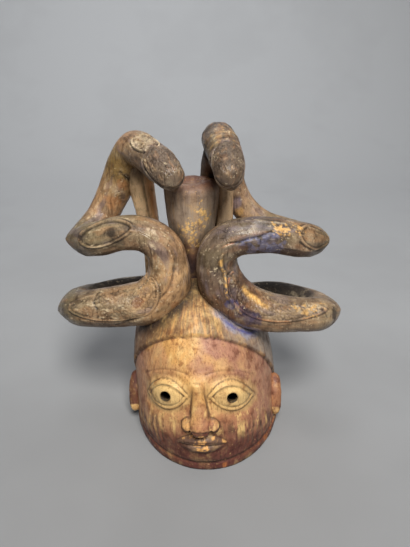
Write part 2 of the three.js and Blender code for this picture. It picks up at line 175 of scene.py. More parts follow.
# Pale dust and wear, which is also laid as painted glints on crests and ridges.
PALE_DUST_AND_GLINT = screen(222, 200, 164)
GOLD_LEAF = screen(246, 192, 112)
# The column top's dark red brown, which is also laid there as painted shade.
TOP_BROWN_AND_SHADE = screen(104, 66, 48)


def smooth(start, end, v):
    """Eases from 0 to 1 as v goes from start to end, whichever is the greater."""
    share = np.clip((v - start) / (end - start), 0, 1)
    return share * share * (3 - 2 * share)


def bell(v):
    """A bump of height 1: e to the power of minus v squared."""
    return np.exp(-v * v)


def soft_max(a, b, fillet):
    """The greater of two heights, with a hollow fillet where they meet."""
    return (a + b + np.sqrt((a - b) ** 2 + fillet * fillet)) / 2 - fillet / 4


def mix(colour, tint, share):
    """Goes from a colour to a tint by a share from 0 to 1 at each point."""
    return colour + (tint - colour) * np.clip(share, 0, 1)[..., None]


def painted(colour, *layers):
    """Lays one tint after another over a colour; each layer is a tint and its share."""
    for tint, share in layers:
        colour = mix(colour, tint, share)
    return colour


def unit(v):
    """Directions of length 1: each vector over its own length."""
    return v / np.linalg.norm(v, axis=-1, keepdims=True)


def xyz(x, y, z):
    """Points from their three coordinates, which are numbers or arrays of matching shapes."""
    return np.stack(np.broadcast_arrays(x, y, z), -1)


LATTICE_SIZE = 32
LATTICE_TURN = np.array([[0.36, 0.48, -0.8], [-0.8, 0.6, 0.0], [0.48, 0.64, 0.6]])


def lattice_noise(place, grain, seed):
    """Seeded random values on the corners of cubes of the given grain, eased across each cube. The
    cubes are turned, so that nothing lines up with the piece."""
    values = np.random.default_rng(seed).uniform(-1, 1, (LATTICE_SIZE,) * 3)
    scaled = place / np.asarray(grain, float) @ LATTICE_TURN
    cell = np.floor(scaled).astype(int)
    ease = smooth(0, 1, scaled - cell)
    total = 0
    for corner in itertools.product((0, 1), repeat=3):
        weight = np.prod(np.where(corner, ease, 1 - ease), axis=-1)
        x, y, z = np.moveaxis((cell + corner) % LATTICE_SIZE, -1, 0)
        total = total + weight * values[x, y, z]
    return total


def rough(place, grain, seed, octaves=3):
    """Several layers of lattice noise, each half as wide and half as strong as the last."""
    layers = range(octaves)
    grain = np.asarray(grain, float)
    return sum(lattice_noise(place, grain / 2**i, seed + i) / 2**i for i in layers)


def cells(place, size, seed):
    """The distances from each point to the nearest and the next nearest of seeds that are scattered one
    to a cube of the given size, measured in cubes."""
    scatter = np.random.default_rng(seed).uniform(0.15, 0.85, (LATTICE_SIZE,) * 3 + (3,))
    scaled = place / size
    home = np.floor(scaled).astype(int)
    nearest = np.full(place.shape[:-1], 9.0)
    second = nearest.copy()
    for step in itertools.product((-1, 0, 1), repeat=3):
        cell = home + step
        x, y, z = np.moveaxis(cell % LATTICE_SIZE, -1, 0)
        away = np.linalg.norm(cell + scatter[x, y, z] - scaled, axis=-1)
        second = np.minimum(second, np.maximum(nearest, away))
        nearest = np.minimum(nearest, away)
    return nearest, second


def dab(colour, place, spots, tint, seed, ragged=0.35, strength=1.0, grain=7):
    """Lays a tint over the colour in ragged spots: each spot is x, y, z and a radius, and its edge is
    shifted by noise of the given grain."""
    edge = ragged * rough(place, grain, seed)
    for x, y, z, radius in spots:
        away = np.linalg.norm(place - (x, y, z), axis=-1) / radius + edge
        colour = mix(colour, tint, strength * smooth(1.12, 0.86, away))
    return colour


def gap_to(place, line, radii):
    """The distance from each point to a round body, given by points along its middle line."""
    gap = np.full(place.shape[:-1], 1e3)
    for centre, radius in zip(line, radii):
        gap = np.minimum(gap, np.linalg.norm(place - centre, axis=-1) - radius)
    return gap


# Meshes

def ring_mesh(name, rings):
    """A closed mesh from rings of points: quads join each ring to the next, and a fan round its own
    middle closes the first and the last. Rings run anticlockwise seen from the last ring's side."""
    count, sides = rings.shape[:2]
    i, j = np.meshgrid(np.arange(count - 1), np.arange(sides), indexing="ij")
    a = i * sides + j
    b = i * sides + (j + 1) % sides
    quads = np.stack([a, b, b + sides, a + sides], -1).reshape(-1, 4)
    points = np.vstack([rings.reshape(-1, 3), rings[0].mean(0), rings[-1].mean(0)])
    around = np.arange(sides)
    after = (around + 1) % sides
    first, last, last_ring = len(points) - 2, len(points) - 1, (count - 1) * sides
    start_fan = np.stack([np.full(sides, first), after, around], -1)
    end_fan = np.stack([np.full(sides, last), last_ring + around, last_ring + after], -1)
    corners = np.concatenate([quads.ravel(), start_fan.ravel(), end_fan.ravel()])
    sizes = np.concatenate([np.full(len(quads), 4), np.full(2 * sides, 3)])
    mesh = bpy.data.meshes.new(name)
    mesh.vertices.add(len(points))
    mesh.vertices.foreach_set("co", ((points + FOOTPRINT_SHIFT) * METRES).ravel())
    mesh.loops.add(len(corners))
    mesh.loops.foreach_set("vertex_index", corners)
    mesh.polygons.add(len(sizes))
    mesh.polygons.foreach_set("loop_start", np.concatenate([[0], np.cumsum(sizes)[:-1]]))
    mesh.update(calc_edges=True)
    mesh.polygons.foreach_set("use_smooth", np.ones(len(sizes), bool))
    return mesh


def add_object(name, mesh):
    """Puts a mesh into the scene as an object."""
    piece = bpy.data.objects.new(name, mesh)
    bpy.context.scene.collection.objects.link(piece)
    return piece


def places(mesh):
    """The mesh's points, back in millimetres from the middle of the helmet."""
    flat = np.zeros(len(mesh.vertices) * 3, np.float32)
    mesh.vertices.foreach_get("co", flat)
    return flat.reshape(-1, 3).astype(float) / METRES - FOOTPRINT_SHIFT


def store_paint(mesh, colour):
    """Keeps a colour at each point in the attribute that the materials read."""
    layer = mesh.color_attributes.new("paint", "FLOAT_COLOR", "POINT")
    rgba = np.ones((len(mesh.vertices), 4), np.float32)
    rgba[:, :3] = np.clip(colour, 0, 1)
    layer.data.foreach_set("color", rgba.ravel())


def store_value(mesh, name, value):
    """Keeps a number at each point in a named attribute."""
    mesh.attributes.new(name, "FLOAT", "POINT").data.foreach_set("value", value.astype(np.float32))


def with_poles(values):
    """Values on rings as one list, with those of the two closing middles at its end."""
    flat = values.reshape(-1, *values.shape[2:])
    return np.concatenate([flat, values[:1, 0], values[-1:, 0]])


def finish_piece(name, mesh, material):
    """Adds a mesh as a wooden piece of the mask, riding on the root body in place of the CAD's node."""
    piece = add_object(name, mesh)
    mesh.materials.append(material)
    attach(piece, "root")
    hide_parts("mask")


def add_rings(name, rings, colour, scaled, material):
    """A finished piece from its rings of points, the paint there and the share of carved curls."""
    mesh = ring_mesh(name, rings)
    store_paint(mesh, with_poles(colour))
    store_value(mesh, "scaled", with_poles(scaled))
    finish_piece(name, mesh, material)


# The helmet

def dome_point(dome, turn, z):
    """A point of the dome: its plan at a height is an oval whose size falls off with the height as
    (1 - (z / height) ^ rise power) ^ (1 / plan power); turn goes round from the front towards +X."""
    spread = np.maximum(1 - (z / dome.height) ** DOME_RISE_POWER, 0) ** (1 / DOME_PLAN_POWER)
    drawn_in = 1 - SIDE_DRAW_SHARE * smooth(0, SIDE_DRAW_HEIGHT, z)
    depth = np.where(np.cos(turn) > 0, dome.front, dome.back)
    across = spread * drawn_in * dome.half_width * np.sin(turn)
    return xyz(across, -spread * depth * np.cos(turn), z)


def dome_normal(dome, p):
    """The outward direction there, the gradient of the dome's implicit form."""
    depth = np.where(p[..., 1] < 0, dome.front, dome.back)
    rise = DOME_RISE_POWER / dome.height * (p[..., 2] / dome.height) ** (DOME_RISE_POWER - 1)
    return unit(xyz(2 * p[..., 0] / dome.half_width ** 2, 2 * p[..., 1] / depth**2, rise))


def lean(p):
    """Carries each point sideways with its height."""
    return p - xyz(LEAN * p[..., 2], 0, 0)


def face_level(p):
    """The level of the face at a point: its height, less the tilt times how far it lies behind the
    front line."""
    front_line = dome_point(HEAD, 0 * p[..., 2], np.clip(p[..., 2], 0, HEAD.height))[..., 1]
    return p[..., 2] + FACE_TILT * (p[..., 1] - front_line)


def swellings(x, level):
    """Muzzle, brow, cheeks and chin: soft bells across the face."""
    muzzle = 5.3 * bell(x / 34) * bell((level - MOUTH_LINE) / 20)
    brow = 4 * smooth(70, 45, abs(x)) * bell((level - CHIN_LINE - 2 * THIRD) / 10)
    cheek = 4 * bell((abs(x) - 58) / 24) * bell((level - NOSE_BASE) / 24)
    chin = 4 * bell(x / 26) * bell((level - CHIN_LINE - 0.22 * THIRD) / 9)
    return muzzle + brow + cheek + chin


def fold_height(across, up, half_width, rise, radius, corner_radius):
    """The height of a rounded fold whose middle line is an arch: rise times one minus the share of the
    half width squared; its radius shrinks to the corners in the same way."""
    share = np.clip(across / half_width, -1, 1)
    thick = radius + (corner_radius - radius) * share**2
    slope = np.hypot(1, 2 * rise * share / half_width)
    beside = (up - rise * (1 - share**2)) / slope
    beyond = np.maximum(abs(across) - half_width, 0)
    return np.sqrt(np.maximum(thick**2 - beside**2 - beyond**2, 0))


def eye_height(x, level):
    """An eye: a ball, an ellipse's height above the face, between an upper and a lower lid."""
    across, up = abs(x) - EYE_X, level - EYE_LINE
    ball = -3 + 10.5 * np.sqrt(np.maximum(1 - (across / 22) ** 2 - (up / 15) ** 2, 0))
    upper = 0.8 + fold_height(across, up, 25, 16, 3.4, 1.6)
    lower = 0.4 + fold_height(across, up, 24, -15, 3.0, 1.6)
    upper = np.where(upper > 0.81, upper, -3)
    lower = np.where(lower > 0.41, lower, -3)
    socket = -1.6 * bell((np.hypot(across / 30, (up - 2) / 24) - 0.95) / 0.18)
    return soft_max(ball, np.maximum(upper, lower), 0.6), socket


def nose_height(x, level):
    """A broad short nose: a rounded ridge that widens downwards, with a blunt tip and two wings."""
    down = np.clip((EYE_LINE + 10 - level) / 42, 0, 1)
    radius = 6.5 + 4 * down
    middle = -3.5 + 9 * down**1.15
    ridge = middle + np.sqrt(np.maximum(radius**2 - x**2, 0))
    inside = (abs(x) < radius) & (level > NOSE_BASE - 1) & (level < EYE_LINE + 14)
    ridge = np.where(inside, ridge, -3)
    tip_round = 1 - (x / 13.5) ** 2 - ((level - NOSE_BASE - 8) / 10.5) ** 2
    tip = np.where(tip_round > 0, 4 + 9.9 * np.sqrt(np.maximum(tip_round, 0)), -3)
    wing_round = 1 - ((abs(x) - 13) / 8.5) ** 2 - ((level - NOSE_BASE - 5.5) / 8) ** 2
    wing = np.where(wing_round > 0, 1 + 9.5 * np.sqrt(np.maximum(wing_round, 0)), -3)
    return soft_max(soft_max(ridge, tip, 2.5), wing, 1.5)


def mouth_height(x, level):
    """Two closed full lips, each an arched fold, with a groove between them and a dip above."""
    up = level - MOUTH_LINE + 2
    upper = fold_height(x, up, 29, 6.6, 6.2, 1.5) - 0.8 * bell(x / 4) * bell((up - 10) / 3)
    lower = fold_height(x, up, 27, -4.2, 6.6, 1.5)
    lips = np.maximum(upper, lower)
    seam = 1.6 * bell((up - 1.2 * (1 - (x / 28) ** 2)) / 0.9) * smooth(31, 26, abs(x))
    return lips, seam


def cheek_marks(x, level):
    """Short upright cuts on each cheek, one every 6 mm, each longer towards the middle one."""
    pitch, first, count = 6.0, 48.0, 6
    index = np.clip(np.round((abs(x) - first) / pitch), 0, count - 1)
    beside = abs(x) - first - pitch * index
    reach = 15 - 2.2 * abs(index - 2.5)
    ends = smooth(reach + 2, reach - 2, abs(level - NOSE_BASE + 16))
    return 1.0 * bell(beside / 0.9) * ends


def face_height(x, level):
    """The whole face as a height above the bare dome, from its sideways place and its level."""
    base = swellings(x, level)
    eyes, socket = eye_height(x, level)
    lips, seam = mouth_height(x, level)
    philtrum = 0.9 * bell(x / 2.6) * smooth(NOSE_BASE - 12, NOSE_BASE - 8, level) * smooth(
        NOSE_BASE + 1, NOSE_BASE - 2, level)
    brow_arch = 24 + 6 * (1 - ((abs(x) - EYE_X) / 30) ** 2)
    brow_cut = bell((level - EYE_LINE - brow_arch) / 1.1) * smooth(31, 26, abs(abs(x) - EYE_X))
    forms = soft_max(0 * x, eyes, 1.2)
    forms = soft_max(forms, nose_height(x, level), 1.8)
    forms = soft_max(forms, lips, 1.6)
    return base + forms + socket - seam - philtrum - 0.7 * brow_cut - cheek_marks(x, level)


def band_relief(z):
    """The band that stands proud round the rim, with its lowest edge eased."""
    return BAND_THICKNESS * smooth(BAND_HEIGHT + BAND_SOFTNESS, BAND_HEIGHT, z) - 1.2 * smooth(2.5, 0, z)


def above_hairline(p):
    """The distance from the slanting plane of the hairline, positive on the cap, with the unevenness of
    a line cut by hand."""
    along_y, along_z = math.sin(CAP_FALL), math.cos(CAP_FALL)
    plane = (p[..., 1] + HAIRLINE_DEPTH) * along_y + (p[..., 2] - HAIRLINE) * along_z
    return plane + 0.5 * rough(p, 14, 5, 2)


def hairline_width(p):
    """The width of the cut along the hairline, which the carver made broader at the sides."""
    return 1.0 + 1.1 * smooth(20, 75, abs(p[..., 0]))


def head_relief(p):
    """How far the outside stands out of the plain dome at a point that isn't leaned yet."""
    z = p[..., 2]
    on_face = smooth(4, 44, -p[..., 1]) * smooth(CHIN_LINE, CHIN_LINE + 8, z)
    face = on_face * face_height(p[..., 0], face_level(p))
    edge = above_hairline(p)
    on_cap = smooth(-0.7, 0.9, edge)
    hair_cut = 0.8 * bell((edge + 1.4) / hairline_width(p))
    handwork = 0.3 * rough(p, (26, 26, 34), 11) + 0.2 * rough(p, (7, 7, 12), 12)
    handwork = handwork + 0.12 * rough(p, (3, 3, 5), 14, 2)
    cap = CAP_THICKNESS + 0.25 * rough(p, (6, 6, 40), 13)
    return band_relief(z) + face * (1 - on_cap) + cap * on_cap - hair_cut - 0.35 + handwork


def helmet_shell():
    """The head as one closed shell: down the hollow from its crown to the rim, across the rim, and up
    the outside. The outer rings stand off the dome by the relief along its normal."""
    even = 2 * np.pi * np.arange(HEAD_COLUMNS) / HEAD_COLUMNS
    turn = even - FRONT_CROWDING * np.sin(even)
    inner_rise = np.linspace(0.985, 0, HOLLOW_ROWS) * np.pi / 2
    inner_z = HOLLOW.height * np.sin(inner_rise)
    inner = dome_point(HOLLOW, turn[None], inner_z[:, None])
    gouges = 0.9 * rough(inner, (16, 16, 20), 21, 2) * smooth(0, 6, inner_z)[:, None]
    inner = inner + gouges[..., None] * dome_normal(HOLLOW, inner)
    spread_start = (1 - (CROWN_START / HEAD.height) ** DOME_RISE_POWER) ** (1 / DOME_PLAN_POWER)
    crown_spread = np.linspace(spread_start, 0.02, CROWN_ROWS + 1)[1:]
    crown_z = HEAD.height * (1 - crown_spread**DOME_PLAN_POWER) ** (1 / DOME_RISE_POWER)
    outer_z = np.concatenate([np.linspace(0, CROWN_START, FACE_ROWS), crown_z])
    outer = dome_point(HEAD, turn[None], outer_z[:, None])
    out = dome_normal(HEAD, outer)
    out[0, :, 2] = 0
    outer = outer + head_relief(outer)[..., None] * unit(out)
    outer[..., 2] = np.maximum(outer[..., 2], 0)
    return ring_mesh("head", lean(np.concatenate([inner, outer])))


def on_head(x, level, proud):
    """The place on the front of the dome at x and a level of the face, standing proud of it. A few
    rounds settle the height at which the dipping level line crosses x."""
    z = level
    for _ in range(LEVEL_ROUNDS):
        widest = dome_point(HEAD, np.array(np.pi / 2), np.array(z))[0]
        p = dome_point(HEAD, np.array(np.arcsin(x / widest)), np.array(z))
        z = z + level - face_level(p)
    return lean(p + dome_normal(HEAD, p) * (swellings(x, level) + proud))


def pupil(side):
    """The middle of a pupil on the face, and the direction in which it is bored."""
    return on_head(side * EYE_X, EYE_LINE, 0), np.array([0, math.cos(PUPIL_DIP), -math.sin(PUPIL_DIP)])


def rod_rings(start, end, radius):
    """Two rings of a plain rod from one point to another."""
    axis = unit(end - start)
    first = unit(np.cross(axis, (1.0, 0.0, 0.0)))
    second = np.cross(axis, first)
    angle = 2 * np.pi * np.arange(ROD_SIDES)[:, None] / ROD_SIDES
    ring = radius * (np.cos(angle) * first + np.sin(angle) * second)
    return np.stack([ring + start, ring + end])


def pierce(mesh):
    """Cuts the pupils through the wall and bores the nostrils, and gives back the finished mesh."""
    head = add_object("head_blank", mesh)
    rods = []
    for side in (-1, 1):
        eye, inwards = pupil(side)
        rods.append(rod_rings(eye - PUPIL_BEFORE * inwards, eye + PUPIL_BEHIND * inwards, PUPIL_RADIUS))
        hole = on_head(side * NOSTRIL.x, NOSE_BASE - NOSTRIL.below, NOSTRIL.before)
        rods.append(rod_rings(hole, hole + (0, NOSTRIL.run, NOSTRIL.rise), NOSTRIL.radius))
    cutters = [add_object("cutter", ring_mesh("cutter", rod)) for rod in rods]
    for cutter in cutters:
        cut = head.modifiers.new("cut", "BOOLEAN")
        cut.operation, cut.solver, cut.object = "DIFFERENCE", "EXACT", cutter
    settled = head.evaluated_get(bpy.context.evaluated_depsgraph_get())
    finished = bpy.data.meshes.new_from_object(settled)
    for blank in (head, *cutters):
        bpy.data.objects.remove(blank)
    finished.name = "head"
    return finished


def face_paint(p, level, fine, broad, streak):
    """The face: ochre over the forehead and round the eyes, mauve to the right and at the temples, a
    deep brown beard that starts in upright drips, grey lips rubbed to the wood, painted shade in every
    groove."""
    x = p[:, 0]
    steps = ((GROOVE_STEP, 0), (-GROOVE_STEP, 0), (0, GROOVE_STEP), (0, -GROOVE_STEP))
    around = [face_height(x + dx, level + dz) for dx, dz in steps]
    groove = np.clip((sum(around) / 4 - face_height(x, level)) / 0.8, -1, 1)
    lower_cheek = level + 12 * broad + 7 * streak + 10 * bell((x + 40) / 26)
    beard = smooth(62, 42, level + 10 * streak + 6 * broad - 10 * bell(x / 30))
    drips = bell((level - 60 - 6 * broad) / 12) * smooth(20, 34, abs(x))
    across, up = abs(x) - EYE_X, level - EYE_LINE
    round_eye = smooth(1.3, 0.9, np.hypot(across / 26, (up - 0.5) / 20) + 0.12 * fine)
    ball = smooth(1.02, 0.93, np.hypot(across / 21, up / 14.2))
    on_lips = smooth(0.5, 2.2, mouth_height(x, level)[0]) * smooth(96, 70, level)
    rubbed_lips = smooth(0.1, 0.25, rough(p, (6, 6, 4), 41) + 0.75 * bell(x / 12) - 0.55)
    nose = smooth(1.5, 5, nose_height(x, level))
    chips = smooth(0.5, 0.64, rough(p, (4, 4, 8), 42)) * smooth(48, 60, level)
    return painted(
        np.tile(OCHRE, (len(p), 1)),
        (PALE_OCHRE, 0.7 * smooth(0.0, 0.7, fine + 0.4 * streak)),
        (ORANGE_BROWN, 0.35 * smooth(0.1, 0.8, -fine)),
        (MAUVE, 0.8 * smooth(-10, 50, x + 26 * broad) + 0.45 * smooth(0.1, 0.6, broad)),
        (MAUVE, 0.8 * smooth(54, 72, abs(x) + 6 * fine) * smooth(56, 80, level)),
        (PINK_BROWN, 0.8 * smooth(92, 64, lower_cheek)),
        (DARK_BROWN, 0.95 * beard),
        (RED_BROWN, 0.55 * beard * smooth(0.0, 0.7, broad + 0.4 * fine)),
        (UMBER, 0.5 * beard * smooth(0.0, -0.7, broad)),
        (UMBER, 0.8 * drips * smooth(0.1, 0.4, streak)),
        (PALE_OCHRE, 0.95 * drips * smooth(0.2, 0.45, -streak)),
        (PALE_OCHRE, 0.75 * round_eye),
        (EYE_CREAM, 0.9 * ball),
        (LIP_GREY, 0.85 * on_lips),
        (BARE_WOOD, rubbed_lips * on_lips),
        (PINK_BROWN, 0.75 * nose * smooth(-8, 6, x + 8 * fine) * smooth(104, 84, level)),
        (BARE_WOOD, 0.55 * nose * smooth(0.1, 0.5, fine - 0.04 * x) * smooth(90, 76, level)),
        (PALE_OCHRE, 0.7 * chips * smooth(104, 84, level)),
        (SOOT_AND_PAINTED_SHADE, 0.5 * smooth(0.5, 0.9, rough(p, (2.6, 2.6, 4), 44)) * smooth(96, 60, level)),
        # Painted shade in every groove of the face.
        (UMBER, 0.8 * np.clip(groove, 0, 1)),
        (PALE_OCHRE, 0.25 * np.clip(-groove, 0, 1) * smooth(50, 66, level)),
    )


def upright(p, stretch):
    """Places for noise whose streaks run up the head: even arcs round it and a share of the height."""
    girth = np.maximum(np.hypot(p[:, 0], p[:, 1]), 1)
    return xyz(GRAIN_GIRTH * p[:, 0] / girth, GRAIN_GIRTH * p[:, 1] / girth, stretch * p[:, 2])


def cap_paint(p, fine, broad, right_gap):
    """The cap: ochre with dark upright streaks and rubbed edges, brown to the left and behind, grey to
    the right, and blue in a band below the right snake."""
    x, y = p[:, 0], p[:, 1]
    streak = rough(upright(p, 0.14), 3.4, 35)
    grain = rough(upright(p, 0.2), 2.0, 34)
    in_front = smooth(30, 0, y) * smooth(14, 30, x)
    line = bell((right_gap - 4.5 - 1.2 * broad) / 1.8) * smooth(26, 42, x)
    return painted(
        np.tile(CAP_OCHRE, (len(p), 1)),
        (PALE_OCHRE, 0.5 * smooth(0.1, 0.7, fine)),
        (ORANGE_BROWN, 0.5 * smooth(0.1, 0.7, -fine + 0.3 * broad)),
        (CAP_GREEN, 0.6 * smooth(-0.1, 0.6, streak + 0.35 * broad)),
        (CAP_SHADE, 0.7 * smooth(0.15, 0.6, grain)),
        (BARE_WOOD, 0.6 * smooth(0.25, 0.6, -grain - 0.3 * streak)),
        (CAP_SHADE, smooth(-22, -60, x + 12 * broad) + smooth(30, 90, y)),
        (CAP_GREY, 0.85 * smooth(28, 66, x + 14 * broad) * smooth(60, -10, y)),
        (PALE_BLUE, 0.8 * in_front * smooth(12, 7, right_gap + 3 * fine)),
        (BLUE, 0.85 * in_front * line),
    )


def band_paint(p, fine, broad):
    """The rim band: dark and red brown, rubbed to the fresh wood on the right, darker at its foot."""
    x, z = p[:, 0], p[:, 2]
    return painted(
        np.tile(DARK_BROWN, (len(p), 1)),
        (RED_BROWN, 0.6 * smooth(-0.2, 0.6, broad)),
        (FRESH_RED, 0.85 * smooth(0.25, 0.7, fine + smooth(30, 80, x) * smooth(0, 7, z) - 0.38)),
        (SOOT_AND_PAINTED_SHADE, 0.8 * smooth(6, 0, z + 2 * fine)),
    )


def hollow_share(p):
    """1 inside the hollow and 0 on the outside, from how far a point lies within the plain dome."""
    wall = np.hypot(p[:, 0] / HEAD.half_width, p[:, 1] / np.where(p[:, 1] < 0, HEAD.front, HEAD.back))
    reach = (1 - np.clip(p[:, 2] / HEAD.height, 0, 1) ** DOME_RISE_POWER) ** (1 / DOME_PLAN_POWER)
    return smooth(6, 9, (reach - wall) * HEAD.half_width) * smooth(197, 188, p[:, 2])


def head_paint(place, left_gap, right_gap):
    """The paint of the whole head: the face, the cap above its edge, the rim band, painted shade where
    the snakes lie on the cap, bare wood in the hollow and painted shade in the bored pupils."""
    p = place + xyz(LEAN * place[:, 2], 0, 0)
    broad = rough(p, 34, 31)
    fine = rough(p, (9, 9, 14), 32)
    streak = rough(upright(p, 0.07), 3.2, 33, 2)
    on_band = smooth(BAND_HEIGHT + 3, BAND_HEIGHT + 0.5, p[:, 2])
    edge = above_hairline(p)
    colour = painted(
        face_paint(p, face_level(p), fine, broad, streak),
        (band_paint(p, fine, broad), on_band),
        (SOOT_AND_PAINTED_SHADE, 0.7 * bell((p[:, 2] - BAND_HEIGHT - 4) / 1.8)),
        (cap_paint(p, fine, broad, right_gap), smooth(-0.6, 0.4, edge) * (1 - on_band)),
        (UMBER, 0.85 * bell((edge + 1.2) / hairline_width(p)) * (1 - on_band)),
        (BARE_WOOD, 0.55 * bell((edge - 1.1) / 1.2) * smooth(-0.1, 0.4, fine)),
        # Painted shade where the snakes lie on the cap.
        (SOOT_AND_PAINTED_SHADE, 0.9 * smooth(19, 2, left_gap)),
        (SOOT_AND_PAINTED_SHADE, 0.7 * smooth(4.5, 0, right_gap)),
    )
    colour = colour * (1 + 0.12 * rough(p, (2.8, 2.8, 5), 46))[:, None]
    raw = mix(np.tile(RAW_HOLLOW, (len(p), 1)), SOOT_AND_PAINTED_SHADE, 0.7 * smooth(-0.4, 0.7, broad))
    colour = mix(colour, raw, hollow_share(p))
    for side in (-1, 1):
        eye, inwards = pupil(side)
        off_axis = np.linalg.norm(np.cross(place - eye, inwards), axis=1)
        bored = smooth(PUPIL_RADIUS + 0.9, PUPIL_RADIUS + 0.2, off_axis) * (place[:, 1] < 0)
        # Painted shade inside the bored pupils.
        colour = mix(colour, SOOT_AND_PAINTED_SHADE, 0.95 * bored)
    return colour


def add_ear(name, side, tint, material):
    """An ear: an egg whose outer face is dished inside a rounded rim, with a low ridge in the dish and a
    broken lobe rubbed to the pale wood."""
    rise = np.linspace(-0.985, 0.985, 56)[:, None] * np.pi / 2
    turn = (2 * np.pi * np.arange(64) / 64)[None]
    x = np.cos(rise) * np.cos(turn)
    y = np.cos(rise) * np.sin(turn)
    z = np.sin(rise) + 0 * turn
    away = np.hypot(y / 0.66, (z - 0.05) / 0.76)
    dish = 0.62 * smooth(1.05, 0.7, away) - 0.26 * bell((away - 0.42) / 0.16)
    outward = np.maximum(side * x, 0)
    x = x - side * dish * smooth(0.05, 0.4, outward)
    size = np.array([EAR.half_depth, EAR.half_width, EAR.half_height])
    p = xyz(x, y, z) * size
    p = p + unit(p / size) * (0.5 * rough(p, 9, 51 + side))[..., None]
    from_lobe = np.linalg.norm(p - LOBE, axis=-1) / LOBE_RADIUS
    p = p + (side * 2.0, -3.0, -1.5) * bell(from_lobe)[..., None]
    cos, sin = math.cos(-EAR.back), math.sin(-EAR.back)
    p = xyz(p[..., 0], cos * p[..., 1] - sin * p[..., 2], sin * p[..., 1] + cos * p[..., 2])
    p = p + (side * EAR.x - LEAN * EAR.z, EAR.y, EAR.z)
    grain = rough(p, 8, 71)
    colour = painted(
        np.tile(tint, (*dish.shape, 1)),
        (BARE_WOOD, 0.45 * smooth(0.3, 0.8, grain)),
        (DARK_BROWN, 0.7 * smooth(-0.1, -0.7, grain)),
        # Painted shade in the ear's dish.
        (SOOT_AND_PAINTED_SHADE, 0.8 * smooth(0.1, 0.5, dish)),
        (PALE_OCHRE, smooth(1.25, 0.95, from_lobe) * smooth(-1.2, -0.4, grain)),
    )
    add_rings(name, p, colour, 0 * dish, material)


# Bodies along curves

def curve_through(stations, t):
    """A centripetal Catmull-Rom curve: each span between stations is a cubic whose end slopes come from
    the stations on both sides, each weighted by the square root of the spacing."""
    points = np.array([s[:3] for s in stations], float)
    ends = np.vstack([2 * points[0] - points[1], points, 2 * points[-1] - points[-2]])
    span = np.minimum(t.astype(int), len(points) - 2)
    w = (t - span)[:, None]
    p0, p1, p2, p3 = (ends[span + k] for k in range(4))
    d0, d1, d2 = (
        np.linalg.norm(b - a, axis=1, keepdims=True) ** 0.5 for a, b in ((p0, p1), (p1, p2), (p2, p3)))
    slope1 = ((p1 - p0) / d0 - (p2 - p0) / (d0 + d1) + (p2 - p1) / d1) * d1
    slope2 = ((p2 - p1) / d1 - (p3 - p1) / (d1 + d2) + (p3 - p2) / d2) * d1
    bend = 3 * (p2 - p1) - 2 * slope1 - slope2
    twist = 2 * (p1 - p2) + slope1 + slope2
    return p1 + slope1 * w + bend * w**2 + twist * w**3


def body_path(stations, step, fine=(), fine_step=None, front_at=None, sides=BODY_SIDES, crowding=0.0):
    """The middle line of a round body with a frame carried along it without twist. Between the stations
    named in fine the rings lie closer. At front_at the frame's first direction looks to the front."""
    names, values = list(stations), list(stations.values())
    t = np.linspace(0, len(values) - 1, 4001)
    line = curve_through(values, t)
    along = np.concatenate([[0], np.cumsum(np.linalg.norm(np.diff(line, axis=0), axis=1))])
    at = dict(zip(names, np.interp(np.arange(len(values)), t, along)))
    spacing = np.full(len(t), float(step))
    for first, last in fine:
        spacing[(along >= at[first]) & (along <= at[last])] = fine_step
    pace = np.concatenate([[0], np.cumsum(np.diff(along) / spacing[1:])])
    wanted = np.linspace(0, pace[-1], int(pace[-1]) + 2)
    chosen = np.interp(wanted, pace, t)
    centre = curve_through(values, chosen)
    s = np.interp(chosen, t, along)
    radius = np.interp(chosen, np.arange(len(values)), [v[3] for v in values])
    kernel = np.ones(5) / 5
    radius = np.convolve(np.pad(radius, 2, "edge"), kernel, "valid")
    tangent = unit(np.gradient(centre, s, axis=0))
    start = int(np.argmin(abs(s - at[front_at]))) if front_at else 0
    front = np.array([0.0, -1.0, 0.0])
    first = np.zeros_like(tangent)
    first[start] = unit(front - tangent[start] * (front @ tangent[start]))
    for i in range(start + 1, len(s)):
        first[i] = unit(first[i - 1] - tangent[i] * (first[i - 1] @ tangent[i]))
    for i in range(start - 1, -1, -1):
        first[i] = unit(first[i + 1] - tangent[i] * (first[i + 1] @ tangent[i]))
    even = 2 * np.pi * np.arange(sides) / sides
    turn = even - crowding * np.sin(even)
    turn = np.where(turn > np.pi, turn - 2 * np.pi, turn)
    second = np.cross(tangent, first)
    out = np.cos(turn)[None, :, None] * first[:, None] + np.sin(turn)[None, :, None] * second[:, None]
    return Named(centre=centre, s=s, radius=radius, at=at, turn=turn, out=out, length=along[-1])


def wrapped(angle):
    """An angle brought to between minus half a turn and half a turn."""
    return (angle + np.pi) % (2 * np.pi) - np.pi


def station(path, mark):
    """The length along the body at a station and an offset from it."""
    return path.at[mark[0]] + mark[1]


def line_on_body(path, turn, marks, wander=0.0):
    """How far round the body each point lies from a line drawn along it through marks of station,
    offset and angle, and a share that fades out past the line's ends."""
    s = path.s
    stops = np.array([station(path, mark) for mark in marks])
    angle = np.interp(s, stops, [mark[2] for mark in marks])
    angle = np.convolve(np.pad(angle, 5, "edge"), np.ones(11) / 11, "valid")
    beside = wrapped(turn - angle[:, None]) * path.radius[:, None] + wander
    ends = smooth(stops[0] - 3, stops[0] + 5, s) * smooth(stops[-1] + 3, stops[-1] - 5, s)
    return beside, ends[:, None]


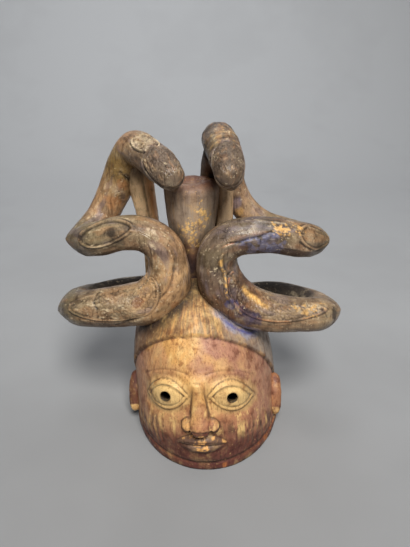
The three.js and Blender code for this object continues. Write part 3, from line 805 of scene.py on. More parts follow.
def leaf_edge(path, turn, leaf):
    """The distance of each point from the edge of a leaf, negative inside. The leaf's middle line bends
    through three angles as t goes from -1 to 1 along it, and its half width is the widest times
    (1 - t^2) to the power of its fullness."""
    s = path.s
    start, end = station(path, leaf.start), station(path, leaf.end)
    t = 2 * (s - start) / (end - start) - 1
    first, middle, last = leaf.angles
    bend = np.clip(t, -1.2, 1.2)
    centre = middle + (last - first) / 2 * bend + ((first + last) / 2 - middle) * bend**2
    half = leaf.half_width * np.maximum(1 - t * t, 0) ** leaf.fullness
    v = abs(wrapped(turn - centre[:, None])) * path.radius[:, None]
    slope = np.hypot(1, np.clip(np.gradient(half, s), -2, 2))[:, None]
    beyond = (np.maximum(abs(t) - 1, 0) * (end - start) / 2)[:, None]
    return np.where(beyond > 0, np.hypot(v, beyond), (v - half[:, None]) / slope)


def leaf_side(path, turn, leaf):
    """1 on the leaf's outer side of the body and the leaf's own share on its inner side."""
    middle = np.interp(path.s, [station(path, leaf.start), station(path, leaf.end)],
                       [leaf.angles[0], leaf.angles[2]])
    outer = smooth(-0.3, 0.1, wrapped(turn - middle[:, None]))
    return leaf.inner_line + (1 - leaf.inner_line) * outer


def wander_of(straight, seed):
    """How far the hand let a carved line stray, in millimetres."""
    return 1.3 * lattice_noise(straight, (9, 9, 11), seed + 6)


def crack_share(place, chains, width):
    """How deep in a crack each point lies: a bell of its distance from the nearest chain of spans."""
    away = np.full(place.shape[:-1], 1e3)
    for chain in chains:
        for start, end in itertools.pairwise(np.array(chain, float)):
            run = end - start
            share = np.clip((place - start) @ run / (run @ run), 0, 1)
            away = np.minimum(away, np.linalg.norm(place - start - share[..., None] * run, axis=-1))
    return bell(away / width)


def collar_share(path, turn, form, wander):
    """How far on a collar line over the neck each point lies, one layer for each line."""
    s = path.s[:, None] + wander
    over = smooth(1.5, 1.0, abs(wrapped(turn - form.head.angles[0])))
    return [bell((s - station(path, ("neck_front", offset))) / 1.3) * over for offset in form.collar]


def rounded_end(to_end, reach, least):
    """The share of its radius that a body keeps near an end: a quarter circle over the last reach."""
    return np.sqrt(np.maximum(1 - np.maximum((reach - to_end) / reach, 0) ** 2, least))


def curls(straight, size, seed):
    """Small carved curls: a pad in each cell that falls to a groove between cells, with a smaller ring
    cut round its middle."""
    nearest, second = cells(straight, size, seed)
    return smooth(0.02, 0.3, second - nearest) - 0.45 * bell((nearest - 0.3) / 0.09)


def section_square(turn, power):
    """A rounded square section: one over the power mean of cosine and sine."""
    mean = (abs(np.cos(turn)) ** power + abs(np.sin(turn)) ** power) ** (1 / power)
    return 1 / mean


def draw_out(p, corners):
    """Draws the surface out to blunt corners: points move towards a tip by a share that falls off evenly
    with their distance from it."""
    for x, y, z, reach, pull in corners:
        tip = np.array([x, y, z], float)
        away = np.linalg.norm(p - tip, axis=-1)
        share = pull * np.maximum(1 - away / reach, 0) ** 1.2
        p = p + (tip - p) * share[..., None]
    return p


def tinted_along(path, tints):
    """A colour for each ring, blended between colours that are named at stations."""
    stops = [path.at[name] for name in tints]
    colours = np.array(list(tints.values()))
    return xyz(*(np.interp(path.s, stops, channel) for channel in colours.T))


def spread_of(relief):
    """How far each point lies below the mean of the points round it on the rings: above 0 in grooves."""
    near = sum(np.roll(relief, k, axis=1) for k in (-3, -2, 2, 3))
    padded = np.pad(relief, ((3, 3), (0, 0)), "edge")
    near = near + sum(padded[3 + k:len(padded) - 3 + k] for k in (-3, -2, 2, 3))
    return near / 8 - relief


def snake_relief(path, turn, straight, place, form, seed):
    """The carved surface of a snake, in millimetres off its plain round body: long cuts of the knife
    along it, facets, leaves with a raised line round them, ridges and grooves, cracks, collar lines, and
    the head's dome of curls over a lip and a mouth line. Gives the relief, the shares of curls and of
    the dome, and the distance from the dome's edge."""
    s = path.s[:, None]
    facets = 0.5 - abs(lattice_noise(straight, (11, 11, 30), seed + 1))
    relief = -0.7 + 0.45 * rough(straight, (12, 12, 46), seed) + 0.7 * facets
    relief = relief + 0.24 * rough(straight, (3.5, 3.5, 10), seed + 2)
    wander = wander_of(straight, seed)
    curled = np.zeros_like(relief)
    for leaf in form.leaves:
        edge = leaf_edge(path, turn, leaf)
        inside = smooth(-0.5, -2.6, edge)
        pattern = curls(straight, leaf.curl, seed + 3) if leaf.curl else 0.0
        line = leaf.line * leaf_side(path, turn, leaf)
        relief = relief + line * (bell((edge + 0.2) / 0.9) - 0.5 * bell((edge - 2.0) / 1.0))
        relief = relief + inside * (0.7 * pattern - leaf.sunk)
        curled = np.maximum(curled, inside * min(leaf.curl, 1))
    for ridge in form.ridges:
        beside, ends = line_on_body(path, turn, ridge.marks, wander)
        relief = relief + ridge.height * bell(beside / ridge.width) * ends * (1 - 0.7 * curled)
    relief = relief - 1.5 * crack_share(place, form.cracks, 1.0)
    relief = relief + 0.6 * sum(collar_share(path, turn, form, wander))
    edge = leaf_edge(path, turn, form.head)
    on_dome = smooth(0.4, -1.4, edge)
    pattern = curls(straight, form.head.curl, seed + 4)
    on_head = smooth(5, 3, edge)
    before_tip = smooth(path.length - 1, path.length - 9, s)
    relief = relief * (1 - 0.7 * on_head) + on_dome * (1.5 + 0.8 * pattern) * before_tip
    relief = relief - (1.8 * bell((edge - 1.2) / 1.0) - 0.9 * bell((edge - 5) / 2.2)) * before_tip
    mouth = smooth(path.length - 50, path.length - 38, s)
    relief = relief - 2.2 * mouth * bell((edge - 8.8) / 1.0)
    return relief, curled, on_dome, edge


def snake_paint(path, turn, straight, place, relief, on_dome, edge, form, seed):
    """The colours of a snake: tints that change along it, patches of patina and warm bare wood, painted
    shade in its grooves, round its head's dome, in its mouth line and underneath, painted shade with dark
    patina on the front of its back arm, which its loop shades, pale on crests as both rubbed wear and
    painted highlight, and its own painted lines and spots."""
    s = path.s[:, None]
    broad = rough(place, 24, seed + 21)
    middling = rough(straight, (8, 8, 24), seed + 22)
    fine = rough(straight, (3, 3, 8), seed + 23)
    flecks = rough(straight, (2.4, 2.4, 3.6), seed + 25)
    wander = wander_of(straight, seed)
    colour = painted(
        np.repeat(tinted_along(path, form.tints)[:, None], relief.shape[1], axis=1),
        (OLIVE, 0.55 * smooth(0.0, 0.7, broad)),
        (DEEP_BROWN, 0.55 * smooth(-0.15, -0.75, broad + 0.4 * fine)),
        (ORANGE_BROWN, 0.3 * smooth(0.15, 0.7, middling + 0.3 * fine)),
        (LILAC, 0.4 * smooth(-0.2, -0.75, middling)),
    )
    colour = colour * (1 + 0.16 * rough(straight, (4.5, 4.5, 8), seed + 26))[..., None]
    groove = spread_of(relief)
    crest = smooth(0.1, 0.6, -groove) * smooth(-0.5, 0.5, fine) * (1 - 0.75 * on_dome)
    up, front = path.out[..., 2], -path.out[..., 1]
    back_arm = smooth(path.at["lower_turn"] + 8, path.at["lower_turn"] - 22, s)
    mouth = smooth(path.length - 44, path.length - 34, s)
    colour = painted(
        colour,
        (form.head.tint, 0.85 * on_dome),
        (ORANGE_BROWN, 0.3 * on_dome * smooth(0.3, 0.8, fine + 0.5 * broad)),
        (LIP_LILAC, 0.7 * bell((edge - 4.6) / 2.6)),
        # Painted shade in the cut round the dome and in every groove.
        (SOOT_AND_PAINTED_SHADE, 0.8 * bell((edge - 1.2) / 1.1)),
        (SOOT_AND_PAINTED_SHADE, 0.8 * smooth(0.05, 0.7, groove)),
        # Pale crests: rubbed wear and painted highlight.
        (PALE_DUST_AND_GLINT, 0.36 * crest),
        (PALE_DUST_AND_GLINT, 0.7 * smooth(0.62, 0.8, fine) * smooth(-0.2, 0.4, broad)),
        # Painted shade underneath, painted shade with dark patina on the back arm's front, painted shade in
        # the mouth line.
        (DEEP_BROWN, 0.55 * smooth(0.0, -0.85, up)),
        (SOOT_AND_PAINTED_SHADE, 0.92 * back_arm * smooth(-0.3, -0.05, front + 0.06 * fine)),
        (SOOT_AND_PAINTED_SHADE, 0.85 * mouth * bell((edge - 8.8) / 1.2)),
    )
    for leaf in form.leaves:
        rim = bell((leaf_edge(path, turn, leaf) + 0.2) / 0.9) * leaf_side(path, turn, leaf)
        colour = mix(colour, leaf.rim, 0.7 * rim * smooth(-0.4, 0.2, fine))
    for line in form.lines:
        beside, ends = line_on_body(path, turn, line.marks, wander)
        broken = smooth(line.cover, line.cover - 0.3, -flecks - 0.4 * fine)
        colour = mix(colour, line.tint, line.share * bell(beside / line.width) * ends * broken)
    for collar in collar_share(path, turn, form, wander):
        colour = mix(colour, GOLD_WOOD, 0.3 * collar * smooth(-0.1, 0.3, flecks))
    colour = mix(colour, SOOT_AND_PAINTED_SHADE, 0.85 * crack_share(place, form.cracks, 1.1))
    for tint, spots, ragged, strength, grain in form.spots:
        colour = dab(colour, place, spots, tint, seed + 31, ragged, strength, grain)
    return colour


def add_snake(name, stations, side, form, others, material, seed):
    """One snake: round rings carried along its line with their relief, its loops drawn out to corners,
    and its paint, with painted shade where it meets the other forms."""
    fine = (("front_arm_end", "upper_arm_end"), ("crest", "tip"))
    path = body_path(stations, COARSE_STEP, fine, FINE_STEP, "foot", BODY_SIDES, BODY_CROWDING)
    turn = side * path.turn[None]
    radius, s = path.radius[:, None], path.s[:, None]
    place = path.centre[:, None] + path.out * radius[..., None]
    straight = xyz(radius * np.cos(turn), radius * np.sin(turn), s)
    relief, curled, on_dome, edge = snake_relief(path, turn, straight, place, form, seed)
    ends = rounded_end(path.length - s, 6, 0.02) * rounded_end(s, 4, 0.02)
    rings = path.centre[:, None] + path.out * ((radius + relief) * ends)[..., None]
    rings = draw_out(rings, form.corners)
    colour = snake_paint(path, turn, straight, place, relief, on_dome, edge, form, seed)
    # Painted shade where the snake meets the other snake and the column.
    colour = painted(colour, *((SOOT_AND_PAINTED_SHADE, 0.75 * smooth(8, -1, gap_to(rings, *other))) for other in others))
    add_rings(name, rings, colour, np.maximum(curled, on_dome), material)


def add_bar(name, stations, tint, edge_tint, power, notch, material, seed):
    """A strut or a jaw: a body with a rounded square section, cut by a groove along it when notch is
    above 0. It is plain brown behind, has painted shade in its dents, and a strut has painted shade where
    it enters the neck."""
    path = body_path(stations, BAR_STEP, sides=BAR_SIDES)
    turn = path.turn[None]
    share = path.s / path.length
    place = path.centre[:, None] + path.out * path.radius[:, None, None]
    relief = -0.5 + 0.5 * rough(place, (12, 12, 40), seed) + 0.2 * rough(place, 6, seed + 1)
    relief = relief - notch * bell((turn - 0.35) / 0.16)
    shape = 1 + (section_square(turn, power) - 1) * smooth(0.85, 0.55, share)[:, None]
    off_line = (path.radius[:, None] * shape + relief) * rounded_end(path.length - path.s, 4, 0.03)[:, None]
    rings = path.centre[:, None] + path.out * off_line[..., None]
    colour = painted(
        np.tile(tint, (*relief.shape, 1)),
        (OLIVE, 0.3 * smooth(0, 0.8, rough(place, 22, seed + 2))),
        (ORANGE_BROWN, 0.35 * smooth(0.2, 0.7, rough(place, (6, 6, 20), seed + 3))),
        (edge_tint, 0.75 * smooth(0.3, 0.9, turn) * smooth(1.6, 1.1, turn)),
        (BARE_BROWN, 0.88 * smooth(1.4, 2.1, abs(turn))),
        # Painted shade where a strut enters the neck, and painted shade in the dents.
        (DEEP_BROWN, 0.75 * smooth(0.83, 0.92, share)[:, None] * (power > 2)),
        (SOOT_AND_PAINTED_SHADE, 0.8 * smooth(0.1, 1.2, spread_of(relief))),
    )
    add_rings(name, rings, colour, 0 * relief, material)


def column_radius(z):
    """The column's radius: straight to its waist, then a quarter sine to the power 1.15 out to its top."""
    share = np.clip((z - COLUMN.waist) / (COLUMN.top - COLUMN.waist), 0, 1)
    flare = np.sin(np.pi / 2 * share) ** 1.15
    return COLUMN.foot_radius + (COLUMN.top_radius - COLUMN.foot_radius) * flare


def add_column(material, others):
    """The column, a turned profile with an eased top edge and a shallow dish: streaked grey brown, darker
    low down, dark red brown over the top edge and the dish, partly painted shade and lighter at the near
    rim, painted shade where the snakes touch it, and flecks of gold and pale paint on its front."""
    top, dish_radius = COLUMN.top, COLUMN.top_radius - DISH_WALL
    z = np.linspace(COLUMN.foot, top - TOP_EASE, COLUMN_ROWS)
    edge = np.linspace(0, np.pi / 2, 14)[1:]
    edge_z = top - TOP_EASE + TOP_EASE * np.sin(edge)
    dish = np.linspace(dish_radius, 1, 18)
    dish_z = top - 0.3 - DISH_DEPTH * smooth(dish_radius, 6, dish)
    radius = np.concatenate([column_radius(z), column_radius(edge_z) - TOP_EASE * (1 - np.cos(edge)), dish])
    height = np.concatenate([z, edge_z, dish_z])[:, None]
    turn = (2 * np.pi * np.arange(COLUMN_SIDES) / COLUMN_SIDES)[None]
    out = xyz(np.sin(turn), -np.cos(turn), 0)
    place = np.array([COLUMN.x, COLUMN.y, 0.0]) + out * radius[:, None, None] + xyz(0, 0, height)
    relief = -0.5 + 0.5 * rough(place, (14, 14, 60), 61) + 0.25 * rough(place, (5, 5, 16), 62)
    rings = place + out * (relief * smooth(3, 20, radius)[:, None])[..., None]
    rings[..., 2] -= smooth(top - 6, top - 1, height) * smooth(-0.2, 0.7, rough(place, 12, 63))
    streak = rough(place, (4, 4, 42), 64)
    broad = rough(place, 26, 65)
    tall = height + 7 * streak
    on_top = smooth(top - 12, top - 1, height)
    near_rim = smooth(-12, -30, place[..., 1] - COLUMN.y + 4 * broad)
    speckle = smooth(0.1, 0.3, rough(place, (2.2, 2.2, 2.6), 66))
    patch = dab(np.zeros_like(rings), rings, COLUMN_GOLD, np.ones(3), 67, 0.9)[..., 0]
    colour = painted(
        np.tile(screen(174, 153, 132), (*relief.shape, 1)),
        (OLIVE, 0.35 * smooth(0.0, 0.7, broad)),
        (GREY_BROWN, 0.4 * smooth(0.0, 0.6, streak)),
        (WARM_TAN, 0.35 * smooth(0.1, 0.6, -streak)),
        # Darker towards the column's foot.
        (RED_BROWN, 0.75 * smooth(258, 242, tall)),
        (DUSKY_PURPLE, 0.85 * smooth(248, 222, tall)),
        # Dark red brown down the top edge and over the dish, partly painted shade, lighter towards the near
        # rim.
        (TOP_BROWN_AND_SHADE, 0.55 * smooth(285, 328, tall + 6 * broad)),
        (TOP_BROWN_AND_SHADE, 0.95 * on_top * (1 - 0.4 * near_rim)),
        (GOLD_WOOD, patch * speckle),
        (PALE_OCHRE, patch * smooth(0.15, 0.4, rough(place, 2.0, 68))),
        # Painted shade where the snakes touch the column.
        *((SOOT_AND_PAINTED_SHADE, 0.8 * smooth(12, 0, gap_to(rings, *other))) for other in others),
    )
    add_rings("column", rings, colour, 0 * relief, material)


# Materials

class Nodes:
    """A new material with short calls that add nodes to it; inputs are numbers or other nodes' outputs."""

    def __init__(self, name):
        self.material = bpy.data.materials.new(name)
        self.material.use_nodes = True
        self.tree = self.material.node_tree
        self.shader = self.tree.nodes["Principled BSDF"]
        self.place = self.add("TexCoord").outputs["Object"]

    def feed(self, socket, value):
        """Gives an input its number, or links it to the output that it takes its value from."""
        if isinstance(value, bpy.types.NodeSocket):
            self.tree.links.new(value, socket)
        else:
            socket.default_value = value

    def fill(self, made, **inputs):
        """Feeds a node's inputs by their names, with _ for a space."""
        for name, value in inputs.items():
            self.feed(made.inputs[name.replace("_", " ")], value)

    def add(self, kind, **inputs):
        """A new node of a kind, with its inputs fed."""
        made = self.tree.nodes.new("ShaderNode" + kind)
        self.fill(made, **inputs)
        return made

    def attribute(self, name):
        """A node that reads one of the mesh's own attributes."""
        made = self.add("Attribute")
        made.attribute_name = name
        return made

    def stretched(self, *stretch):
        """The object's own coordinates, stretched along each axis."""
        return self.add("Mapping", Scale=stretch, Vector=self.place).outputs[0]

    def noise(self, scale, detail, stretch=(1, 1, 1)):
        """Noise of a scale over the object, which a stretch below 1 draws out along that axis."""
        return self.add("TexNoise", Scale=scale, Detail=detail, Roughness=0.6,
                        Vector=self.stretched(*stretch)).outputs["Fac"]

    def ranged(self, value, low, high, out_low=0.0, out_high=1.0):
        """Eases from out_low to out_high as the value goes from low to high."""
        made = self.add("MapRange", Value=value, From_Min=low, From_Max=high,
                        To_Min=out_low, To_Max=out_high)
        made.interpolation_type = "SMOOTHSTEP"
        return made.outputs["Result"]

    def maths(self, operation, *values):
        """The result of one operation on its values."""
        made = self.tree.nodes.new("ShaderNodeMath")
        made.operation = operation
        for socket, value in zip(made.inputs, values):
            self.feed(socket, value)
        return made.outputs[0]

    def tinted(self, kind, share, colour, tint):
        """Mixes a tint into a colour by a share."""
        made = self.add("Mix")
        made.data_type, made.blend_type = "RGBA", kind
        self.fill(made, Factor=share, A=colour, B=tint)
        return made.outputs["Result"]


def old_wood(name, roughness, uneven, crack_share, chip_share, dark, pale):
    """Old painted wood: the piece's own paint, made uneven by blotches and upright grain, with pores,
    thin upright cracks and small chips to the pale wood; the same marks make its bump. Wax makes it
    shine more on its smoother patches, and the darkest paint, dirt and painted shade alike, is matt."""
    wood = Nodes(name)
    dark, pale = (*dark, 1.0), (*pale, 1.0)
    paint = wood.attribute("paint").outputs["Color"]
    scaled = wood.attribute("scaled").outputs["Fac"]
    blotch = wood.noise(70, 6)
    grain = wood.noise(480, 4, (1, 1, 0.1))
    pores = wood.noise(1000, 2)
    chips = wood.noise(260, 5)
    cell_edges = wood.add("TexVoronoi", Scale=75.0, Randomness=1.0, Vector=wood.stretched(1, 1, 0.14))
    cell_edges.feature = "DISTANCE_TO_EDGE"
    crack = wood.maths("MULTIPLY", wood.ranged(cell_edges.outputs["Distance"], 0.035, 0.0),
                       wood.ranged(wood.noise(26, 2), 0.52, 0.62))
    crack = wood.maths("MULTIPLY", crack, crack_share)
    patches = wood.ranged(wood.noise(34, 3), 0.46, 0.6, 0.15, 1.0)
    chipped = wood.maths("MULTIPLY", wood.ranged(chips, 0.6, 0.66, 0, chip_share), patches)
    colour = paint
    for kind, share, tint in (
            ("MULTIPLY", wood.ranged(blotch, 0.5, 0.68, 0, 0.9 * uneven), dark),
            ("MIX", wood.ranged(blotch, 0.48, 0.3, 0, 0.4 * uneven), pale),
            ("MULTIPLY", wood.ranged(grain, 0.52, 0.68, 0, 0.8 * uneven), dark),
            ("MULTIPLY", wood.ranged(pores, 0.56, 0.7, 0, 0.7 * uneven), dark),
            ("MULTIPLY", crack, dark),
            ("MIX", chipped, pale)):
        colour = wood.tinted(kind, share, colour, tint)
    grey = wood.add("RGBToBW", Color=paint).outputs["Val"]
    waxed = wood.ranged(blotch, 0.35, 0.65, roughness - 0.12, roughness + 0.16)
    matt_where_dark = wood.ranged(grey, 0.015, 0.07, 0.95, 0.0)
    height = wood.maths("MULTIPLY", grain, -0.7)
    fleck = wood.maths("MULTIPLY", chips, scaled)
    for mark, depth in ((pores, -0.4), (crack, -1.6), (chipped, -0.6), (fleck, 0.9), (blotch, 1.0)):
        height = wood.maths("ADD", height, wood.maths("MULTIPLY", mark, depth))
    bump = wood.add("Bump", Strength=0.75, Distance=0.0009, Height=height)
    wood.fill(wood.shader, Base_Color=colour, Roughness=wood.maths("MAXIMUM", waxed, matt_where_dark),
              Specular_IOR_Level=0.42, Normal=bump.outputs[0])
    return wood.material


def plain_paper(name, near, far):
    """Matt studio paper, a little darker towards the camera as painted shade for the lamps' falloff, with
    the faintest mottling.
    """
    paper = Nodes(name)
    # Darker towards the camera: painted shade for the lamps' falloff.
    depth = paper.ranged(paper.add("SeparateXYZ", Vector=paper.place).outputs["Y"], -0.5, 0.5)
    share = paper.maths("ADD", depth, paper.ranged(paper.noise(3, 3), 0.3, 0.7, -0.15, 0.15))
    colour = paper.tinted("MIX", share, (*near, 1.0), (*far, 1.0))
    paper.fill(paper.shader, Base_Color=colour, Roughness=0.9, Specular_IOR_Level=0.2)
    return paper.material


# The stage

def add_camera():
    """The photograph's view: a 35 mm lens, 25 degrees down and 2 degrees from straight ahead."""
    data = bpy.data.cameras.new("camera")
    data.lens, data.sensor_width = 35, 36
    camera = bpy.data.objects.new("camera", data)
    camera.location = (0.02846, -0.59804, 0.48414)
    camera.rotation_euler = (math.radians(65), 0, math.radians(2))
    bpy.context.scene.collection.objects.link(camera)
    bpy.context.scene.camera = camera


def add_floor():
    """A sheet of paper that lies on the floor and sweeps up behind in a quarter circle."""
    front, bend_start, radius, top, half_width = -1.6, 1.1, 0.8, 2.6, 2.4
    angle = np.linspace(0, np.pi / 2, 24)
    y = np.concatenate([[front], bend_start + radius * np.sin(angle), [bend_start + radius]])
    z = np.concatenate([[0], radius * (1 - np.cos(angle)), [top]])
    x = np.array([-half_width, half_width])
    points = np.stack([np.tile(x, len(y)), np.repeat(y, 2), np.repeat(z, 2)], -1)
    i = 2 * np.arange(len(y) - 1)
    quads = np.stack([i, i + 1, i + 3, i + 2], -1)
    mesh = bpy.data.meshes.new("floor")
    mesh.from_pydata(points.tolist(), [], quads.tolist())
    mesh.polygons.foreach_set("use_smooth", np.ones(len(quads), bool))
    floor = add_object("floor", mesh)
    mesh.materials.append(plain_paper("studio_paper", (0.25, 0.252, 0.257), (0.35, 0.355, 0.365)))


def add_light(name, place, target, size, power, colour=(1, 1, 1)):
    """A soft square lamp that looks at a target."""
    data = bpy.data.lights.new(name, "AREA")
    data.shape, data.size, data.energy, data.color = "SQUARE", size, power, colour
    lamp = bpy.data.objects.new(name, data)
    lamp.location = place
    aim = np.array(target) - np.array(place)
    yaw = math.atan2(aim[0], -aim[1])
    pitch = math.atan2(math.hypot(aim[0], aim[1]), -aim[2])
    lamp.rotation_euler = (pitch, 0, yaw + math.pi)
    bpy.context.scene.collection.objects.link(lamp)


def add_world():
    """A faint, even, slightly blue light from all round, and plain display of the render's colours."""
    world = bpy.data.worlds.new("studio")
    world.use_nodes = True
    world.node_tree.nodes["Background"].inputs[0].default_value = (0.9, 0.93, 0.97, 1)
    world.node_tree.nodes["Background"].inputs[1].default_value = 0.072
    bpy.context.scene.world = world
    bpy.context.scene.view_settings.view_transform = "Standard"


# The mask

def samples_of(path, step=6.0):
    """Points and radii along a body's middle line, for measuring gaps."""
    count = max(int(path.length / step), 2)
    pick = np.linspace(0, len(path.s) - 1, count).astype(int)
    return path.centre[pick], path.radius[pick]


add_camera()
add_world()
add_floor()
add_light("soft_key", (0.25, -1.38, 1.92), (0, 0, 0.15), 0.8, 63, (1.0, 0.985, 0.95))
add_light("soft_top", (0.1, 0.1, 2.3), (0, 0, 0.1), 1.2, 6, (0.98, 0.98, 1.0))
add_light("backdrop_lamp", (-0.4, 1.2, 2.0), (-0.2, 2.2, 1.1), 1.6, 30, (0.96, 0.98, 1.0))

face_wood = old_wood("painted_face_wood", 0.5, 0.65, 0.08, 0.4, screen(140, 88, 62), PALE_OCHRE)
snake_wood = old_wood("waxed_snake_wood", 0.36, 0.65, 0.4, 0.7, screen(104, 80, 62), PALE_DUST_AND_GLINT)
column_wood = old_wood("column_wood", 0.42, 0.45, 0.3, 0.4, screen(120, 92, 72), GOLD_WOOD)
bar_wood = old_wood("plain_strut_wood", 0.5, 0.45, 0.5, 0.3, screen(112, 82, 58), GOLD_WOOD)

left_line = samples_of(body_path(LEFT_SNAKE, 3.0))
right_line = samples_of(body_path(RIGHT_SNAKE, 3.0))
column_z = np.arange(COLUMN.foot, COLUMN.top, 5.0)
column_line = (np.stack([0 * column_z + COLUMN.x, 0 * column_z + COLUMN.y, column_z], -1),
               column_radius(column_z))

# The carving and the paint of each snake. A mark is a station, a way along the body from there and an
# angle round it. A spot is its tint, its places with their radii, its raggedness, strength and grain.
LEFT_FORM = Named(
    corners=LEFT_CORNERS,
    leaves=(
        Named(start=("front_arm_end", 2), end=("foot_inner", 12), angles=(-0.6, -0.55, -0.85), half_width=21,
              fullness=0.6, line=1.1, sunk=0.5, curl=6.0, rim=TAN, inner_line=0.5),
        Named(start=("shoulder_out", 12), end=("upper_arm_end", 13), angles=(0.6, 0.5, 0.5), half_width=16,
              fullness=0.7, line=1.2, sunk=1.8, curl=0, rim=TAN, inner_line=0.8),
        Named(start=("neck_front", -13), end=("neck_front", 23), angles=(0.45, 0.38, 0.3), half_width=12.5,
              fullness=0.35, line=1.6, sunk=0.6, curl=4.0, rim=PALE_DUST_AND_GLINT, inner_line=1.0),
    ),
    head=Named(start=("neck_front", 21), end=("tip", 3), angles=(0.6, 0.55, 0.5), half_width=20.5,
               fullness=0.4, curl=3.1, tint=screen(114, 96, 80)),
    ridges=(
        Named(height=-1.5, width=3.0, marks=(
            ("front_arm", 12, 0.7), ("front_arm_inner", 12, 0.24), ("foot", 0, -0.1), ("foot", 23, -0.1),
            ("foot_inner", 6, 0.11), ("breast", 14, 0.6))),
        Named(height=1.3, width=1.6, marks=(
            ("foot_inner", 14, -0.82), ("shoulder", 2, -0.55), ("shoulder", 16, 0.1))),
        Named(height=1.0, width=5, marks=(("foot_inner", 0, 0.55), ("breast", 0, 0.7))),
        Named(height=1.2, width=2.4, marks=(("riser_foot", 0, 1.7), ("neck_back", 0, 1.9))),
        Named(height=1.1, width=2, marks=(("upper_arm", 4, -0.75), ("upper_arm_end", 6, -0.6))),
    ),
    collar=(),
    cracks=(
        ((-129, -52, 197), (-134, -62, 189), (-129, -68, 183), (-128, -70, 172)),
        ((-104, 1, 328), (-97, 4, 320), (-93, 10, 314), (-89, 9, 321)),
    ),
    lines=(
        # A pale line along the inner ridge: a painted glint.
        Named(tint=PALE_DUST_AND_GLINT, width=1.5, share=0.8, cover=0.1, marks=(
            ("foot_inner", 14, -0.82), ("shoulder", 16, 0.1))),
        Named(tint=PALE_DUST_AND_GLINT, width=1.0, share=0.6, cover=0.5, marks=(
            ("upper_arm", 2, -0.3), ("upper_arm_end", 4, -0.1))),
    ),
    tints=dict(
        root=GREY_BROWN, lower_turn=OLIVE, front_arm_end=OLIVE, front_arm=DUSTY_TAN,
        front_arm_inner=DUSTY_TAN, foot=WARM_TAN, breast=WARM_TAN, shoulder=TAN, shoulder_out=WEATHERED,
        upper_arm=screen(152, 132, 102), upper_turn=OLIVE, riser_foot=TAN, riser=WARM_TAN,
        neck_back=OLIVE_YELLOW, crest=TAN, neck_front=WEATHERED, head=GREY_BROWN, tip=GREY_BROWN,
    ),
    spots=(
        (RED_BROWN, [(-80, -72, 195, 7)], 0.3, 0.6, 7),
        (PALE_DUST_AND_GLINT, [(-99, 0, 325, 3), (-57, -65, 272, 4), (-63, -62, 276, 5)], 1.0, 0.45, 7),
        (PALE_DUST_AND_GLINT, [(-72, -24, 372, 10), (-64, -32, 371, 9)], 1.1, 0.3, 3),
        (SOOT_AND_PAINTED_SHADE, [(-101, -62, 276, 11), (-110, -60, 276, 8), (-97, 2, 320, 4)], 0.6, 0.45, 9),
        (OLIVE_YELLOW, [(-101, -2, 338, 16), (-106, 4, 345, 12)], 0.5, 0.7, 7),
        (ORANGE_BROWN, [(-23, -60, 193, 5), (-40, -65, 190, 8), (-118, 12, 290, 9), (-104, 8, 312, 7)],
         0.5, 0.7, 7),
    ),
)
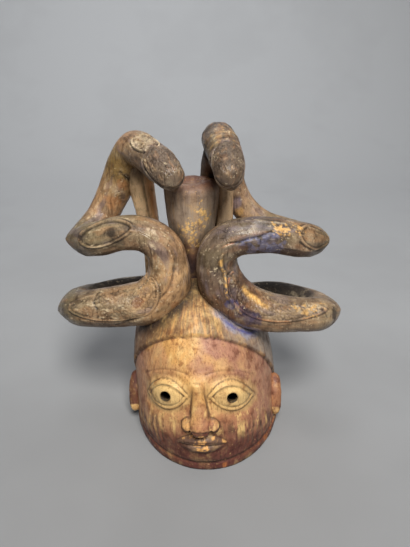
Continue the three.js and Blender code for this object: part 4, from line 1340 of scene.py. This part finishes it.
RIGHT_FORM = Named(
    corners=RIGHT_CORNERS,
    leaves=(
        Named(start=("front_arm_end", 4), end=("foot_inner", 22), angles=(-0.85, -0.72, -0.85),
              half_width=17, fullness=0.7, line=1.1, sunk=0.4, curl=6.0, rim=FRESH_RED, inner_line=0.0),
        Named(start=("upper_arm", 26), end=("upper_arm_end", 30), angles=(0.65, 0.62, 0.6), half_width=16,
              fullness=0.5, line=1.4, sunk=1.0, curl=0, rim=TAN, inner_line=1.0),
    ),
    head=Named(start=("neck_front", 21), end=("tip", 3), angles=(0.5, 0.4, 0.35), half_width=19.5,
               fullness=0.42, curl=3.0, tint=screen(98, 82, 68)),
    ridges=(
        Named(height=2.4, width=2.0, marks=(
            ("front_arm_inner", 33, 0.0), ("foot", 13, -0.11), ("foot", 31, -0.23), ("foot_inner", 21, -0.5),
            ("shoulder", 3, -0.1))),
        Named(height=-1.8, width=2.2, marks=(
            ("front_arm_inner", 28, -0.32), ("foot", 31, -0.44), ("foot_inner", 21, -0.66))),
        Named(height=-1.8, width=1.8, marks=(
            ("shoulder", 11, 0.25), ("shoulder_out", 6, -0.05), ("shoulder_out", 22, 0.16),
            ("upper_arm", 1, 0.5))),
        Named(height=2.2, width=2.2, marks=(
            ("shoulder_out", 20, 1.15), ("upper_arm", 15, 0.95), ("upper_arm", 26, 0.95))),
        Named(height=1.2, width=2.2, marks=(("upper_arm", 10, -0.35), ("upper_arm_end", 12, -0.2))),
        Named(height=1.6, width=1.8, marks=(("upper_arm", 34, 1.15), ("upper_arm_end", 22, 1.0))),
    ),
    collar=(2, 9, 16),
    cracks=(((133, -39, 184), (138, -51, 177), (145, -52, 167)),),
    lines=(
        Named(tint=GOLD_LEAF, width=1.8, share=1.0, cover=0.05, marks=(
            ("front_arm_inner", 33, 0.02), ("foot", 13, -0.11), ("foot", 31, -0.23),
            ("foot_inner", 21, -0.5), ("shoulder", 3, -0.1))),
        Named(tint=GOLD_LEAF, width=3.2, share=1.0, cover=0.95, marks=(
            ("front_arm_inner", 6, -0.7), ("front_arm_inner", 29, -0.9), ("foot", 20, -0.97))),
        Named(tint=BLUE_GREY, width=4.0, share=0.7, cover=0.5, marks=(
            ("shoulder_out", 2, -0.12), ("shoulder_out", 22, 0.1), ("upper_arm", 8, 0.35))),
        Named(tint=screen(84, 66, 64), width=10, share=0.65, cover=2.0, marks=(
            ("upper_arm", 0, -0.85), ("upper_arm", 20, -0.7), ("upper_arm_end", 16, -0.6))),
        Named(tint=BLUE_GREY, width=3.0, share=0.75, cover=0.7, marks=(
            ("front_arm_inner", 4, 0.75), ("front_arm_inner", 26, 0.7), ("foot", 18, 0.75))),
        Named(tint=FRESH_RED, width=0.9, share=0.9, cover=1.2, marks=(
            ("shoulder", 9, 0.2), ("shoulder_out", 0, 0.02))),
        Named(tint=PALE_DUST_AND_GLINT, width=5, share=0.7, cover=0.1, marks=(
            ("front_arm_end", 6, -0.9), ("front_arm", 14, -0.95))),
    ),
    tints=dict(
        root=GREY_BROWN, lower_turn=WEATHERED, front_arm_end=DUSTY_TAN, front_arm=DUSTY_TAN,
        front_arm_inner=DUSTY_TAN, foot=screen(122, 84, 58), foot_inner=screen(112, 86, 68),
        breast=GREY_BROWN, shoulder_out=GREY_BROWN, upper_arm=screen(96, 80, 69), upper_arm_end=WEATHERED,
        upper_turn=OLIVE, riser_foot=WEATHERED, riser=screen(192, 156, 122), neck_back=DEEP_BROWN,
        crest=screen(76, 61, 49), neck_front=screen(102, 84, 69), head=GREY_BROWN, tip=WEATHERED,
    ),
    spots=(
        (screen(58, 64, 110), [(30, -75, 195, 8)], 0.4, 0.6, 9),
        (screen(70, 60, 84), [(48, -75, 179, 9), (57, -74, 175, 9), (38, -75, 186, 8)], 0.45, 0.6, 9),
        (BLUE_GREY, [(77, -62, 260, 9), (62, -64, 260, 9), (50, -64, 258, 8)], 0.7, 0.5, 7),
        (BLUE_GREY, [(30, 12, 291, 10)], 0.7, 0.4, 9),
        (GOLD_WOOD, [(37, 11, 278, 6)], 0.7, 0.6, 4),
        (GOLD_LEAF, [(79, -60, 283, 5), (87, -59, 282, 4.5), (103, -52, 281, 4.5)], 1.5, 0.75, 2.2),
        (GOLD_WOOD, [(18, -8, 375, 8), (22, -18, 371, 7)], 1.5, 0.2, 3.0),
        (GOLD_LEAF, [(134, -54, 185, 6), (120, -58, 181, 5), (104, -62, 188, 4)], 1.6, 0.5, 3.0),
        (SOOT_AND_PAINTED_SHADE, [(154, -40, 166, 7)], 0.6, 0.75, 7),
        # Painted shade down the left side of the neck.
        (SOOT_AND_PAINTED_SHADE, [(-8, 5, 365, 13), (-8, 5, 348, 14), (-6, 5, 333, 13)], 0.4, 0.85, 7),
    ),
)

add_snake("left_snake", LEFT_SNAKE, 1, LEFT_FORM, [right_line, column_line], snake_wood, 101)
add_snake("right_snake", RIGHT_SNAKE, -1, RIGHT_FORM, [left_line, column_line], snake_wood, 201)
add_column(column_wood, [left_line, right_line])
add_bar("left_jaw", LEFT_JAW, GREY_BROWN, GREY_BROWN, 2, 0, snake_wood, 301)
add_bar("right_jaw", RIGHT_JAW, GREY_BROWN, GREY_BROWN, 2, 0, snake_wood, 311)
# Front and edge painted far paler than the wood: painted light where the front lies in shade.
add_bar("left_strut", LEFT_STRUT, screen(255, 218, 170), screen(255, 184, 118), 4, 2.0, bar_wood, 321)
# Painted dark: painted shade for the shadow that the right strut stands in.
add_bar("right_strut", RIGHT_STRUT, screen(96, 76, 60), RED_BROWN, 4, 0, bar_wood, 331)
# Front and edge painted far paler than the wood: painted light where the front lies in shade.
add_bar("side_strut", SIDE_STRUT, screen(246, 212, 172), screen(228, 190, 146), 4, 0, bar_wood, 341)

head_mesh = pierce(helmet_shell())
head_places = places(head_mesh)
head_colour = head_paint(head_places, gap_to(head_places, *left_line), gap_to(head_places, *right_line))
store_paint(head_mesh, head_colour)
store_value(head_mesh, "scaled", np.zeros(len(head_places)))
finish_piece("head", head_mesh, face_wood)

add_ear("left_ear", -1, screen(114, 74, 52), face_wood)
add_ear("right_ear", 1, screen(166, 114, 80), face_wood)
